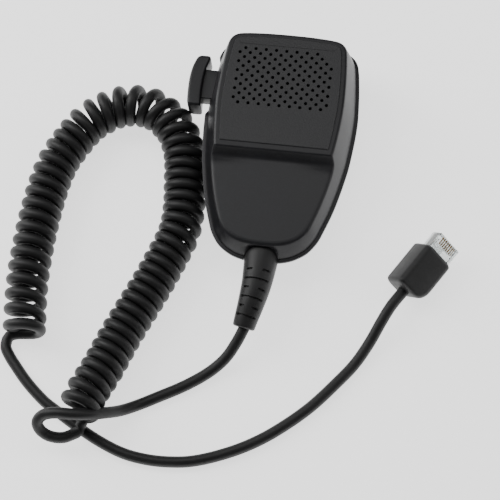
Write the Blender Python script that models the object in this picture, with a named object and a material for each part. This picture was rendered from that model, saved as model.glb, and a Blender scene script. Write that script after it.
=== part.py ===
"""Hand microphone with a push-to-talk bar, a curly cord and a clear modular plug.

The microphone lies on its back on its hang-up button. The origin is the middle of the
button's flat face, +Z points out of the grille, +Y towards the top of the microphone and
+X to its right. Metres throughout. The cord and the plug lie on the plane z = 0.
"""

import math

import bmesh
import bpy
import numpy as np
from mathutils import Matrix, Vector

MM = 0.001
GAP = 0.3 * MM  # between two pieces that touch
CLEARANCE = 0.3 * MM  # round a piece that slides or passes through another

# Housing. Half of each plan outline, from the top middle down the right side to the bottom.
FLANGE_OUTLINE_MM = [
    (0, 50.8), (10.5, 50.6), (18.5, 50), (23.2, 49), (26, 47.4), (28, 45), (29.2, 41.2), (30.2, 34),
    (30.9, 27), (31.4, 19.5), (31.35, 13), (30.95, 6.5), (30.2, -1.8), (29.1, -8.6), (27.5, -16.6),
    (25.65, -23.9), (23.3, -31.1), (22, -34.7), (20.5, -37.5), (18.5, -40.3), (16.2, -42.4),
    (12.8, -44.5), (9.6, -45.7), (5.2, -46.6), (0, -46.8),
]
CROWN_OUTLINE_MM = [
    (0, 48.5), (8, 48.4), (14, 48.1), (18.5, 47.7), (20.9, 47.15), (22.8, 45.8), (23.9, 43.5),
    (24.3, 40.5), (24.85, 35), (25.25, 28.5), (25.5, 21.5), (25.4, 15), (25, 9), (24.45, 3),
    (23.75, -2.4), (22.9, -6.9), (21.9, -12.1), (20.4, -18.4), (18.7, -24.3), (16.7, -30), (15.3, -33),
    (13.4, -35.6), (10.6, -37.5), (6.7, -38.6), (0, -39.1),
]
OUTLINE_POINTS = 26  # along each half
BACK_Z = 5.0 * MM
PARTING_Z = 15.3 * MM
CROWN_Z = 29.3 * MM
WALL = 2.0 * MM
FLANGE_PROUD = 1.2 * MM
FLANGE_HEIGHT = 1.6 * MM
BACK_INSET = 6.5 * MM  # how far the flat back stands inside the flange
CROWN_EDGE_RADIUS = 1.0 * MM
BACK_EDGE_STEPS = 4

# Thumb face: the lower half of the front stands below the grille panel.
STEP_TOP_Y = -3.6 * MM
STEP_RUN = 2.4 * MM
STEP_DEPTH = 4.1 * MM
THUMB_FACE_FALL = 2.2 * MM  # over its length
THUMB_FACE_END_Y = -47.5 * MM

# Grille: staggered rows of sound holes.
HOLE_RADIUS = 0.62 * MM
HOLE_SIDES = 6
HOLE_PITCH = 4.22 * MM
ROW_PITCH = 2.05 * MM
GRILLE_TOP_Y = 40.5 * MM
GRILLE_ROWS = 13
HOLES_IN_FIRST_ROW = 9  # every second row has one more
SHORT_ROWS = 2  # the topmost rows lack their last hole

# Push-to-talk bar on the left side. It is pressed along +X.
BAR_TRAVEL = 2.5 * MM
BAR_Y = (17.2 * MM, 39.9 * MM)
BAR_Z = (9.8 * MM, 20.4 * MM)
BAR_INNER_X = -33.7 * MM
BAR_THICKNESS = 6.1 * MM
BAR_EDGE = 0.8 * MM
NECK_Y = (21.3 * MM, 34.4 * MM)
NECK_Z = (12.2 * MM, 18.2 * MM)
STOP_X = WALL - 26.4 * MM  # outer face of the stop plate behind the wall
STOP_THICKNESS = 1.4 * MM
STOP_OVERLAP = 1.2 * MM
SPRING_SEAT = 2.4 * MM  # how much further the stop plate reaches down behind the spring
FLANGE_CUT_Y = (16.6 * MM, 40.6 * MM)

# Fasteners
HOUSING_SCREWS = [(17.2 * MM, 40.0 * MM), (-17.2 * MM, 40.0 * MM), (11.6 * MM, -29.5 * MM), (-11.6 * MM, -29.5 * MM)]
SCREW_HEAD_RADIUS = 2.6 * MM
SCREW_HEAD_HEIGHT = 1.8 * MM
SCREW_SHANK_RADIUS = 1.3 * MM
SCREW_SHANK_LENGTH = 11.5 * MM
BORE_SPARE = 1.0 * MM  # a threaded bore is this much deeper than its screw
COUNTERBORE_DEPTH = 3.0 * MM
REAR_BOSS_TOP_Z = 11.0 * MM
REAR_BOSS_WALL = 1.2 * MM
POST_WALL = 1.6 * MM
SMALL_HEAD_RADIUS = 2.0 * MM
SMALL_HEAD_HEIGHT = 1.3 * MM
SMALL_SHANK_RADIUS = 1.0 * MM
SMALL_SHANK_LENGTH = 6.5 * MM

# Board and what stands on it. The components face the grille.
BOARD_Z = 11.9 * MM
BOARD_THICKNESS = 1.6 * MM
BOARD_X = (-20.0 * MM, 18.0 * MM)
BOARD_Y = (-18.5 * MM, 32.5 * MM)
BOARD_SCREWS = [(14.5 * MM, -12.0 * MM), (-14.5 * MM, -12.0 * MM)]
SWITCH_SIZE = (6.0 * MM, 7.0 * MM, 4.6 * MM)
SWITCH_FRONT_X = -19.6 * MM
PLUNGER_RADIUS = 1.0 * MM
PLUNGER_LENGTH = 5.7 * MM
SPRING_Y = 20.2 * MM
SPRING_Z = 16.4 * MM
SPRING_RADIUS = 1.7 * MM
SPRING_WIRE_RADIUS = 0.25 * MM
SPRING_TURNS = 6
SPRING_LENGTH = 8.2 * MM
RIB_THICKNESS = 1.4 * MM
RIB_WIDTH = 4.6 * MM
CAPSULE_CENTRE = (0.0, 28.0 * MM)
CAPSULE_RADIUS = 4.85 * MM
CAPSULE_HEIGHT = 5.0 * MM
HOLDER_WALL = 1.6 * MM
FELT_SIZE = (41.0 * MM, 28.6 * MM, 0.5 * MM)

# Hang-up button on the back; its flat face is the plane z = 0.
BUTTON_HEAD_RADIUS = 6.75 * MM
BUTTON_HEAD_HEIGHT = 2.4 * MM
BUTTON_NECK_RADIUS = 3.75 * MM
BUTTON_EDGE = 0.5 * MM

# Cord and the strain relief at the microphone
CORD_DIAMETER = 4.6 * MM
COIL_DIAMETER = 17.6 * MM
CORD_EXIT_Z = 14.2 * MM
RELIEF_INNER_Y = -38.8 * MM
RELIEF_FLANGE_THICKNESS = 1.2 * MM
RELIEF_ROUTE_MM = [
    (0, -40, 14.2), (-0.1, -48.5, 14.2), (-0.5, -56, 13.9), (-1.6, -63.5, 13), (-2.9, -70, 11.5),
    (-3.6, -73.6, 10.4),
]
RELIEF_START_RADIUS = 6.8 * MM
RELIEF_FLANGE_RADIUS = RELIEF_START_RADIUS + 0.55 * MM
RELIEF_END_RADIUS = 4.5 * MM
INNER_CORD_END_Y = -29.0 * MM
CLAMP_Y = (-37.4 * MM, -33.8 * MM)
CLAMP_WALL = 1.3 * MM
CLAMP_SCREW_X = 8.2 * MM
CLAMP_TAB_END_X = 10.8 * MM
HEADER_X = (-6.0 * MM, 6.0 * MM)
HEADER_Y = (-16.5 * MM, -12.0 * MM)
HEADER_HEIGHT = 5.0 * MM
WIRE_DIAMETER = 1.0 * MM
WIRE_PITCH = (1.25 * MM, 2.6 * MM)  # where the wires leave the cord, and at the header

# Free cord, chosen by hand: from the strain relief to the coil, along the coil, and on to the plug.
MIC_TAIL_ROUTE_MM = [
    (-3.8, -74.3, 10.15), (-6, -79.3, 7.6), (-9.7, -85.2, 4.9), (-15.7, -91.1, 3), (-24.4, -97.5, 2.7),
    (-32.8, -103.9, 2.9), (-38.8, -111.2, 4.5), (-42, -118.2, 7.4), (-45.4, -123.5, 11),
    (-50.7, -125.6, 13.4), (-57.8, -121.9, 14.2),
]
COIL_ROUTE_MM = [
    (-68.5, -122.1, 14.5), (-65.9, -117.8, 14.3), (-63.1, -108.3, 12.9), (-56.6, -95.5, 10.7),
    (-51.6, -81.6, 9.4), (-45.8, -66, 9.1), (-39.1, -47.4, 9.1), (-35.1, -35, 9.1), (-34.7, -23.8, 9.1),
    (-36.4, -12, 9.1), (-38.6, -0.4, 9.1), (-43.3, 9.9, 9.1), (-49.1, 15.4, 9.1), (-54.3, 18.4, 9.1),
    (-60.2, 19.4, 9.1), (-66.2, 18.7, 9.1), (-72.1, 15.9, 9.1), (-79.4, 9.6, 9.1), (-85.2, -0.4, 9.1),
    (-89.9, -11.5, 9.1), (-92.7, -26.5, 9.1), (-93.6, -43.3, 9.1), (-92.9, -64, 9.1),
    (-90.8, -83.6, 9.1),
]
PLUG_TAIL_ROUTE_MM = [
    (-90.6, -84, 9.1), (-89.8, -90.9, 8.9), (-88.6, -96.6, 6.3), (-85.9, -102, 3.5),
    (-81.2, -107.2, 2.6), (-74.1, -113.2, 2.6), (-64.4, -119.1, 2.6), (-54.4, -124.2, 2.6),
    (-44.8, -127.8, 2.6), (-35.5, -129.3, 2.6), (-26.3, -129.3, 2.6), (-16.9, -127.9, 2.6),
    (-6.4, -124.2, 2.6), (4.3, -118.8, 2.6), (14.5, -111.6, 2.6), (26, -100.9, 2.6), (36, -88.7, 2.6),
    (41.8, -80.6, 2.8), (46.5, -71.8, 4.1), (50.3, -63.5, 6.9), (53.5, -57, 8.5), (57.3, -50.7, 8.55),
]

# Modular plug and its rubber cover, in the plug's own frame: X to the nose, Z away from the latch.
PLUG_REAR_MM = (57.5, -50.4, 8.55)  # middle of the cover's rear face
PLUG_HEADING = math.radians(59.1)
PLUG_ROLL = math.radians(40)
COVER_LENGTH = 20.0 * MM
COVER_WIDTH = 14.5 * MM
COVER_THICKNESS = 12.5 * MM
COVER_CORNER = 2.5 * MM
COVER_HUMP_X = (7.5 * MM, 15.5 * MM)
COVER_HUMP_WIDTH = 7.0 * MM
COVER_HUMP_HEIGHT = 2.2 * MM
PLUG_WIDTH = 11.68 * MM
PLUG_THICKNESS = 6.5 * MM
PLUG_LENGTH = 21.5 * MM
PLUG_REAR_X = 5.4 * MM
PLUG_BOTTOM_Z = -1.4 * MM
CONTACT_COUNT = 8
CONTACT_PITCH = 1.02 * MM
CONTACT_SIZE = (3.4 * MM, 0.35 * MM, 2.2 * MM)
CONTACT_GAP = 0.1 * MM
LATCH_WIDTH = 4.2 * MM
LATCH_THICKNESS = 1.0 * MM
LATCH_LENGTH = 13.0 * MM
LATCH_DROP = 2.1 * MM  # how far its free end stands below its root


def clear_scene():
    for obj in list(bpy.data.objects):
        bpy.data.objects.remove(obj, do_unlink=True)


def material(name, colour, roughness, metallic=0.0, alpha=1.0):
    made = bpy.data.materials.new(name)
    made.use_nodes = True
    shader = made.node_tree.nodes["Principled BSDF"]
    shader.inputs["Base Color"].default_value = (*colour, 1.0)
    shader.inputs["Roughness"].default_value = roughness
    shader.inputs["Metallic"].default_value = metallic
    shader.inputs["Alpha"].default_value = alpha
    return made


def add_object(name, data, finish, place=None):
    obj = bpy.data.objects.new(name, data)
    bpy.context.scene.collection.objects.link(obj)
    if finish:
        data.materials.append(finish)
    if place is not None:
        obj.matrix_world = place
    return obj


def solid(name, points, faces, finish=None, place=None, smooth_angle=35):
    """A mesh object with its faces turned outwards."""
    mesh = bpy.data.meshes.new(name)
    mesh.from_pydata([tuple(map(float, p)) for p in points], [], faces)
    work = bmesh.new()
    work.from_mesh(mesh)
    bmesh.ops.recalc_face_normals(work, faces=work.faces)
    work.to_mesh(mesh)
    work.free()
    mesh.shade_smooth()
    mesh.set_sharp_from_angle(angle=math.radians(smooth_angle))
    return add_object(name, mesh, finish, place)


def loft(name, rings, finish=None, place=None):
    """A closed solid through rings of equally many points, with a flat cap at each end."""
    count = len(rings[0])
    points = [point for ring in rings for point in ring]
    faces = [tuple(range(count)), tuple(range((len(rings) - 1) * count, len(rings) * count))]
    for level in range(len(rings) - 1):
        for i in range(count):
            low, high = level * count, (level + 1) * count
            j = (i + 1) % count
            faces.append((low + i, low + j, high + j, high + i))
    return solid(name, points, faces, finish, place)


def box(name, x, y, z, finish=None, place=None, edge=0.0):
    points = [(i, j, k) for k in z for j in y for i in x]
    faces = [(0, 1, 3, 2), (4, 5, 7, 6), (0, 1, 5, 4), (1, 3, 7, 5), (3, 2, 6, 7), (2, 0, 4, 6)]
    made = solid(name, points, faces, finish, place)
    if edge:
        bevel = made.modifiers.new("edge", "BEVEL")
        bevel.width = edge
        bevel.segments = 2
    return made


def frame_along(origin, direction):
    """A matrix whose Z axis points along the direction from the origin."""
    turn = Vector(direction).to_track_quat("Z", "Y").to_matrix().to_4x4()
    return Matrix.Translation(origin) @ turn


def turned(name, profile, origin=(0, 0, 0), direction=(0, 0, 1), finish=None, sides=24):
    """A solid of revolution. profile lists (radius, height) with no point on the axis."""
    angles = [2 * math.pi * i / sides for i in range(sides)]
    rings = [[(r * math.cos(a), r * math.sin(a), h) for a in angles] for r, h in profile]
    return loft(name, rings, finish, frame_along(origin, direction))


def join_meshes(name, pieces):
    """One mesh object out of several that don't touch, for use as a cutter."""
    work = bmesh.new()
    for piece in pieces:
        copy = piece.data.copy()
        copy.transform(piece.matrix_world)
        work.from_mesh(copy)
        bpy.data.objects.remove(piece, do_unlink=True)
        bpy.data.meshes.remove(copy)
    mesh = bpy.data.meshes.new(name)
    work.to_mesh(mesh)
    work.free()
    return add_object(name, mesh, None)


def combine(obj, other, operation="DIFFERENCE"):
    """Cuts the other object from this one, or joins it to this one, and hides the other."""
    step = obj.modifiers.new(other.name, "BOOLEAN")
    step.operation = operation
    step.object = other
    other.hide_render = True
    other.display_type = "WIRE"
    return obj


def spline_through(points, count):
    """Points spaced equally along the Catmull-Rom curve through the given points."""
    points = np.array(points, float)
    ends = [2 * points[0] - points[1]], [2 * points[-1] - points[-2]]
    padded = np.concatenate([ends[0], points, ends[1]])
    t = np.linspace(0, 1, 24, endpoint=False)[:, None]
    pieces = []
    for a, b, c, d in zip(padded, padded[1:], padded[2:], padded[3:]):
        pieces.append(
            b + 0.5 * t * (c - a) + t**2 * (a - 2.5 * b + 2 * c - 0.5 * d) + t**3 * 0.5 * (3 * b - a - 3 * c + d)
        )
    dense = np.concatenate([*pieces, points[-1:]])
    along = np.concatenate([[0], np.cumsum(np.linalg.norm(np.diff(dense, axis=0), axis=1))])
    wanted = np.linspace(0, along[-1], count)
    return np.stack([np.interp(wanted, along, dense[:, k]) for k in range(dense.shape[1])], axis=1)


def tube(name, route_mm, diameter, spacing, finish, resolution=2):
    """A plain round tube along a smooth curve through the route's points."""
    route = np.array(route_mm, float) * MM
    length = np.linalg.norm(np.diff(route, axis=0), axis=1).sum()
    points = spline_through(route, max(3, round(length / spacing) + 1))
    curve = bpy.data.curves.new(name, "CURVE")
    curve.dimensions = "3D"
    curve.bevel_depth = diameter / 2
    curve.bevel_resolution = resolution
    curve.use_fill_caps = True
    spline = curve.splines.new("POLY")
    spline.points.add(len(points) - 1)
    for place, point in zip(spline.points, points):
        place.co = (*point, 1)
    spline.use_smooth = True
    return add_object(name, curve, finish)


# ---------------------------------------------------------------- housing


def outline(half_mm, inset=0.0):
    """The closed plan outline, counted from the top middle clockwise, moved inwards by inset."""
    half = spline_through(half_mm, OUTLINE_POINTS) * MM
    half[0, 0] = half[-1, 0] = 0
    whole = np.concatenate([half, (half * [-1, 1])[-2:0:-1]])
    along = np.roll(whole, -1, axis=0) - np.roll(whole, 1, axis=0)
    along /= np.linalg.norm(along, axis=1)[:, None]
    inwards = np.stack([along[:, 1], -along[:, 0]], axis=1)
    return whole + inset * inwards


def ring_at(plan, z):
    return [(x, y, z) for x, y in plan]


def front_plan(share, inset):
    """The front shell's outline at a share of its height, 0 at the parting line and 1 at the crown."""
    low = outline(FLANGE_OUTLINE_MM, FLANGE_PROUD + inset)
    high = outline(CROWN_OUTLINE_MM, inset)
    return low + (high - low) * share**1.15


def front_form(name, bottom_z, top_z, inset, edge, finish=None):
    """The front shell's outer form, or its hollow when inset by the wall."""
    height = CROWN_Z - PARTING_Z
    rings = []
    for z in np.linspace(bottom_z, top_z - edge, 5):
        rings.append(ring_at(front_plan(max(0, (z - PARTING_Z) / height), inset), z))
    for angle in (30, 60, 90) if edge else ():
        turn = math.radians(angle)
        z = top_z - edge + edge * math.sin(turn)
        plan = front_plan((z - PARTING_Z) / height, inset + edge * (1 - math.cos(turn)))
        rings.append(ring_at(plan, z))
    return loft(name, rings, finish)


def thumb_face_profile():
    """(y, z) of the step and the thumb face below it, from the panel's lower edge down."""
    face = CROWN_Z - STEP_DEPTH
    foot = STEP_TOP_Y - STEP_RUN
    return [
        (STEP_TOP_Y, CROWN_Z - 0.5 * MM),
        (foot, face + 0.6 * MM),
        (foot - 0.7 * MM, face),
        (-25 * MM, face - 0.45 * THUMB_FACE_FALL),
        (THUMB_FACE_END_Y, face - THUMB_FACE_FALL),
    ]


def front_surface_z(y):
    """The height of the front's outer surface on the middle line."""
    if y > STEP_TOP_Y:
        return CROWN_Z
    ys, zs = zip(*thumb_face_profile()[::-1])
    return float(np.interp(y, ys, zs))


def above_thumb_face(name, lower):
    """Everything above the step and the thumb face, lowered by lower, as a cutter."""
    reach = 60 * MM
    top = CROWN_Z + 10 * MM
    profile = [(y + lower, z - lower) for y, z in thumb_face_profile()]
    profile = [(STEP_TOP_Y + lower, top), *profile, (profile[-1][0] - reach, profile[-1][1])]
    profile.append((profile[-1][0], top))
    return loft(name, [[(x, y, z) for y, z in profile] for x in (-reach, reach)])


def post(name, x, y, bottom, top, radius):
    return turned(name, [(radius, bottom), (radius, top)], (x, y, 0), sides=16)


def bar_window(name):
    """The opening in the left wall that the bar's neck passes through."""
    return box(
        name,
        (-36 * MM, STOP_X - 1.0 * MM),
        (NECK_Y[0] - CLEARANCE, NECK_Y[1] + CLEARANCE),
        (NECK_Z[0] - CLEARANCE, NECK_Z[1] + CLEARANCE),
    )


def relief_hole(name):
    radius = RELIEF_START_RADIUS + CLEARANCE
    return turned(name, [(radius, 0), (radius, 12 * MM)], (0, -40 * MM, CORD_EXIT_Z), (0, -1, 0), sides=24)


def relief_seat(name):
    """The hollow that the strain relief's inner flange sits in."""
    radius = RELIEF_FLANGE_RADIUS + CLEARANCE
    start = RELIEF_INNER_Y + CLEARANCE
    depth = RELIEF_FLANGE_THICKNESS + 2 * CLEARANCE
    return turned(name, [(radius, 0), (radius, depth)], (0, start, CORD_EXIT_Z), (0, -1, 0), sides=24)


def sound_holes():
    """Hexagonal prisms in staggered rows, through the grille panel."""
    pieces = []
    for row in range(GRILLE_ROWS):
        y = GRILLE_TOP_Y - row * ROW_PITCH
        holes = HOLES_IN_FIRST_ROW + row % 2
        for i in range(holes - (row < SHORT_ROWS)):
            x = (i - (holes - 1) / 2) * HOLE_PITCH
            profile = [(HOLE_RADIUS, CROWN_Z - WALL - 1 * MM), (HOLE_RADIUS, CROWN_Z + 1 * MM)]
            pieces.append(turned("hole", profile, (x, y, 0), sides=HOLE_SIDES))
    return join_meshes("sound_hole_cutter", pieces)


def make_front_housing(finish):
    bottom = PARTING_Z + GAP
    shell = front_form("front_housing", bottom, CROWN_Z, 0, CROWN_EDGE_RADIUS, finish)
    combine(shell, above_thumb_face("thumb_face_cutter", 0))
    hollow = front_form("front_hollow", bottom - 1 * MM, CROWN_Z - WALL, WALL, 0)
    combine(hollow, above_thumb_face("hollow_step_cutter", WALL))
    combine(shell, hollow)
    small_top = SMALL_SHANK_LENGTH + BORE_SPARE
    board_top = BOARD_Z + BOARD_THICKNESS
    tab_z = clamp_tab_z()
    screw_top = housing_screw_z() + SCREW_SHANK_LENGTH + BORE_SPARE
    posts = [(x, y, REAR_BOSS_TOP_Z, SCREW_SHANK_RADIUS, screw_top) for x, y in HOUSING_SCREWS]
    posts += [(x, y, board_top, SMALL_SHANK_RADIUS, BOARD_Z - GAP + small_top) for x, y in BOARD_SCREWS]
    clamp_y = sum(CLAMP_Y) / 2
    posts.append((CLAMP_SCREW_X, clamp_y, tab_z + CLAMP_WALL, SMALL_SHANK_RADIUS, tab_z - GAP + small_top))
    for number, (x, y, stands_on, shank, bore_top) in enumerate(posts, 1):
        bottom = stands_on + GAP
        bore_radius = shank + CLEARANCE
        top = front_surface_z(y) - WALL / 2
        combine(shell, post(f"front_post_{number}", x, y, bottom, top, bore_radius + POST_WALL), "UNION")
        combine(shell, post(f"front_bore_{number}", x, y, bottom - 1 * MM, bore_top, bore_radius))
    rib_x, rib_y = spring_rib_span()
    rib = box("spring_rib", rib_x, rib_y, (board_top + GAP, CROWN_Z - WALL / 2))
    combine(shell, rib, "UNION")
    combine(shell, bar_window("front_window"))
    combine(shell, relief_hole("front_relief_hole"))
    combine(shell, relief_seat("front_relief_seat"))
    combine(shell, sound_holes())
    return shell


def rear_plan(z, inset):
    """The rear shell's outline: vertical under the flange, then rounding in to the flat back."""
    depth = (PARTING_Z - FLANGE_HEIGHT - z) / (PARTING_Z - FLANGE_HEIGHT - BACK_Z)
    depth = min(max(depth, 0), 1)
    curve_in = (BACK_INSET - FLANGE_PROUD) * (1 - math.sqrt(max(0, 1 - (0.98 * depth) ** 2)))
    return outline(FLANGE_OUTLINE_MM, FLANGE_PROUD + curve_in + inset)


def make_rear_housing(finish):
    under_flange = PARTING_Z - FLANGE_HEIGHT
    depths = [math.sin(math.pi / 2 * i / BACK_EDGE_STEPS) for i in range(BACK_EDGE_STEPS, -1, -1)]
    rings = [ring_at(rear_plan(z, 0), z) for z in (under_flange - d * (under_flange - BACK_Z) for d in depths)]
    flange = outline(FLANGE_OUTLINE_MM)
    rings += [ring_at(flange, under_flange), ring_at(flange, PARTING_Z)]
    shell = loft("rear_housing", rings, finish)
    floor = BACK_Z + WALL
    inner = [ring_at(rear_plan(z - WALL / 2, WALL), z) for z in np.linspace(floor, under_flange, 5)]
    inner.append(ring_at(rear_plan(PARTING_Z, WALL), PARTING_Z + 1 * MM))
    combine(shell, loft("rear_hollow", inner))
    for number, (x, y) in enumerate(HOUSING_SCREWS, 1):
        radius = SCREW_HEAD_RADIUS + CLEARANCE + REAR_BOSS_WALL
        combine(shell, post(f"rear_boss_{number}", x, y, BACK_Z + WALL / 2, REAR_BOSS_TOP_Z, radius), "UNION")
        bore_radius = SCREW_SHANK_RADIUS + CLEARANCE
        combine(shell, post(f"rear_bore_{number}", x, y, BACK_Z - 1 * MM, REAR_BOSS_TOP_Z + 1 * MM, bore_radius))
        sink = SCREW_HEAD_RADIUS + CLEARANCE
        combine(shell, post(f"rear_sink_{number}", x, y, BACK_Z - 1 * MM, BACK_Z + COUNTERBORE_DEPTH, sink))
    screw_hole = SCREW_SHANK_RADIUS + CLEARANCE
    combine(shell, post("button_screw_hole", 0, 0, BACK_Z - 1 * MM, floor + 1 * MM, screw_hole))
    combine(shell, bar_window("rear_window"))
    combine(shell, relief_hole("rear_relief_hole"))
    combine(shell, relief_seat("rear_relief_seat"))
    widest = max(x for x, _ in FLANGE_OUTLINE_MM) * MM
    cut = box(
        "flange_cutter",
        (-40 * MM, FLANGE_PROUD - widest),
        FLANGE_CUT_Y,
        (under_flange - 1 * MM, PARTING_Z + 1 * MM),
    )
    return combine(shell, cut)


def screw(name, x, y, under_head_z, head, shank, finish, direction=1):
    """A pan-head screw along Z; the head's underside is at under_head_z."""
    (head_radius, head_height), (shank_radius, shank_length) = head, shank
    profile = [
        (head_radius * 0.62, -head_height),
        (head_radius, -head_height * 0.55),
        (head_radius, 0),
        (shank_radius, 0),
        (shank_radius, shank_length - shank_radius),
        (shank_radius * 0.3, shank_length),
    ]
    return turned(name, profile, (x, y, under_head_z), (0, 0, direction), finish, sides=16)


def housing_screw_z():
    """The underside of a housing screw's head."""
    return BACK_Z + COUNTERBORE_DEPTH - GAP


def make_housing_screws(finish):
    head = (SCREW_HEAD_RADIUS, SCREW_HEAD_HEIGHT)
    shank = (SCREW_SHANK_RADIUS, SCREW_SHANK_LENGTH)
    for number, (x, y) in enumerate(HOUSING_SCREWS, 1):
        screw(f"housing_screw_{number}", x, y, housing_screw_z(), head, shank, finish)


# ---------------------------------------------------------------- push-to-talk bar


def spring_outer_x():
    return STOP_X + STOP_THICKNESS + GAP


def spring_rib_span():
    """(x span, y span) of the rib that the spring's fixed end rests on."""
    x = spring_outer_x() + SPRING_LENGTH + GAP
    return (x, x + RIB_THICKNESS), (SPRING_Y - RIB_WIDTH / 2, SPRING_Y + RIB_WIDTH / 2)


def make_ptt_button(finish):
    """A bowed bar outside the wall, a neck through the window and a stop plate inside."""
    steps = 9
    outer, inner = [], []
    for i in range(steps):
        y = BAR_Y[0] + (BAR_Y[1] - BAR_Y[0]) * i / (steps - 1)
        share = 2 * i / (steps - 1) - 1
        lean = 1.7 * MM * max(0, share) ** 2
        outer.append((BAR_INNER_X - BAR_THICKNESS + 1.1 * MM * share**2 + 0.5 * lean, y))
        inner.append((BAR_INNER_X + lean, y))
    side = outer + inner[::-1]
    bar = loft("ptt_button", [[(x, y, z) for x, y in side] for z in BAR_Z], finish)
    bevel = bar.modifiers.new("edge", "BEVEL")
    bevel.width = BAR_EDGE
    bevel.segments = 2
    bevel.angle_limit = math.radians(50)
    neck = box("ptt_neck", (BAR_INNER_X - 1 * MM, STOP_X + 0.5 * MM), NECK_Y, NECK_Z)
    combine(bar, neck, "UNION")
    stop = box(
        "ptt_stop",
        (STOP_X, STOP_X + STOP_THICKNESS),
        (NECK_Y[0] - STOP_OVERLAP - SPRING_SEAT, NECK_Y[1] + STOP_OVERLAP),
        (NECK_Z[0] + 0.3 * MM - STOP_OVERLAP / 2, NECK_Z[1] + STOP_OVERLAP / 2),
    )
    return combine(bar, stop, "UNION")


def switch_centre():
    return (sum(NECK_Y) / 2, BOARD_Z + BOARD_THICKNESS + GAP + SWITCH_SIZE[2] / 2)


def make_ptt_switch(body_finish, plunger_finish):
    y, z = switch_centre()
    low = BOARD_Z + BOARD_THICKNESS + GAP
    body = box(
        "ptt_switch",
        (SWITCH_FRONT_X, SWITCH_FRONT_X + SWITCH_SIZE[0]),
        (y - SWITCH_SIZE[1] / 2, y + SWITCH_SIZE[1] / 2),
        (low, low + SWITCH_SIZE[2]),
        body_finish,
    )
    start = STOP_X + STOP_THICKNESS + GAP
    bore_end = start + PLUNGER_LENGTH + BAR_TRAVEL + GAP
    radius = PLUNGER_RADIUS + CLEARANCE
    bore = turned("plunger_bore", [(radius, SWITCH_FRONT_X - 1 * MM), (radius, bore_end)], (0, y, z), (1, 0, 0), sides=12)
    combine(body, bore)
    turned(
        "ptt_switch_plunger",
        [(PLUNGER_RADIUS, start), (PLUNGER_RADIUS, start + PLUNGER_LENGTH)],
        (0, y, z),
        (1, 0, 0),
        plunger_finish,
        sides=12,
    )


def make_ptt_spring(finish):
    """A compression spring between the stop plate and the front shell's rib."""
    turns, per_turn = SPRING_TURNS, 10
    route = []
    for i in range(turns * per_turn + 1):
        angle = 2 * math.pi * i / per_turn
        x = spring_outer_x() + SPRING_WIRE_RADIUS + (SPRING_LENGTH - 2 * SPRING_WIRE_RADIUS) * i / (turns * per_turn)
        place = (x, SPRING_Y + SPRING_RADIUS * math.cos(angle), SPRING_Z + SPRING_RADIUS * math.sin(angle))
        route.append(tuple(value / MM for value in place))
    tube("ptt_spring", route, 2 * SPRING_WIRE_RADIUS, 1.1 * MM, finish, resolution=1)


# ---------------------------------------------------------------- inside


def make_board(finish):
    board = box("circuit_board", BOARD_X, BOARD_Y, (BOARD_Z, BOARD_Z + BOARD_THICKNESS), finish)
    for number, (x, y) in enumerate(BOARD_SCREWS, 1):
        radius = SMALL_SHANK_RADIUS + CLEARANCE
        hole = post(f"board_hole_{number}", x, y, BOARD_Z - 1 * MM, BOARD_Z + BOARD_THICKNESS + 1 * MM, radius)
        combine(board, hole)
    return board


def small_screw(name, x, y, under_head_z, finish):
    head = (SMALL_HEAD_RADIUS, SMALL_HEAD_HEIGHT)
    return screw(name, x, y, under_head_z, head, (SMALL_SHANK_RADIUS, SMALL_SHANK_LENGTH), finish)


def make_board_parts(chip, can, blue, pin):
    top = BOARD_Z + BOARD_THICKNESS + GAP
    box("preamp_chip", (2 * MM, 7 * MM), (0, 6.2 * MM), (top, top + 1.6 * MM), chip)
    turned("output_capacitor", [(2.5 * MM, top), (2.5 * MM, top + 6.5 * MM)], (12 * MM, 8 * MM, 0), finish=can, sides=16)
    box("gain_trimmer", (-10 * MM, -4 * MM), (-4 * MM, 2 * MM), (top, top + 3.6 * MM), blue)
    box("cord_header", HEADER_X, HEADER_Y, (top, top + HEADER_HEIGHT), pin)
    for number, (x, y) in enumerate(BOARD_SCREWS, 1):
        small_screw(f"board_screw_{number}", x, y, BOARD_Z - GAP, bpy.data.materials["plated_steel"])


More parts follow.
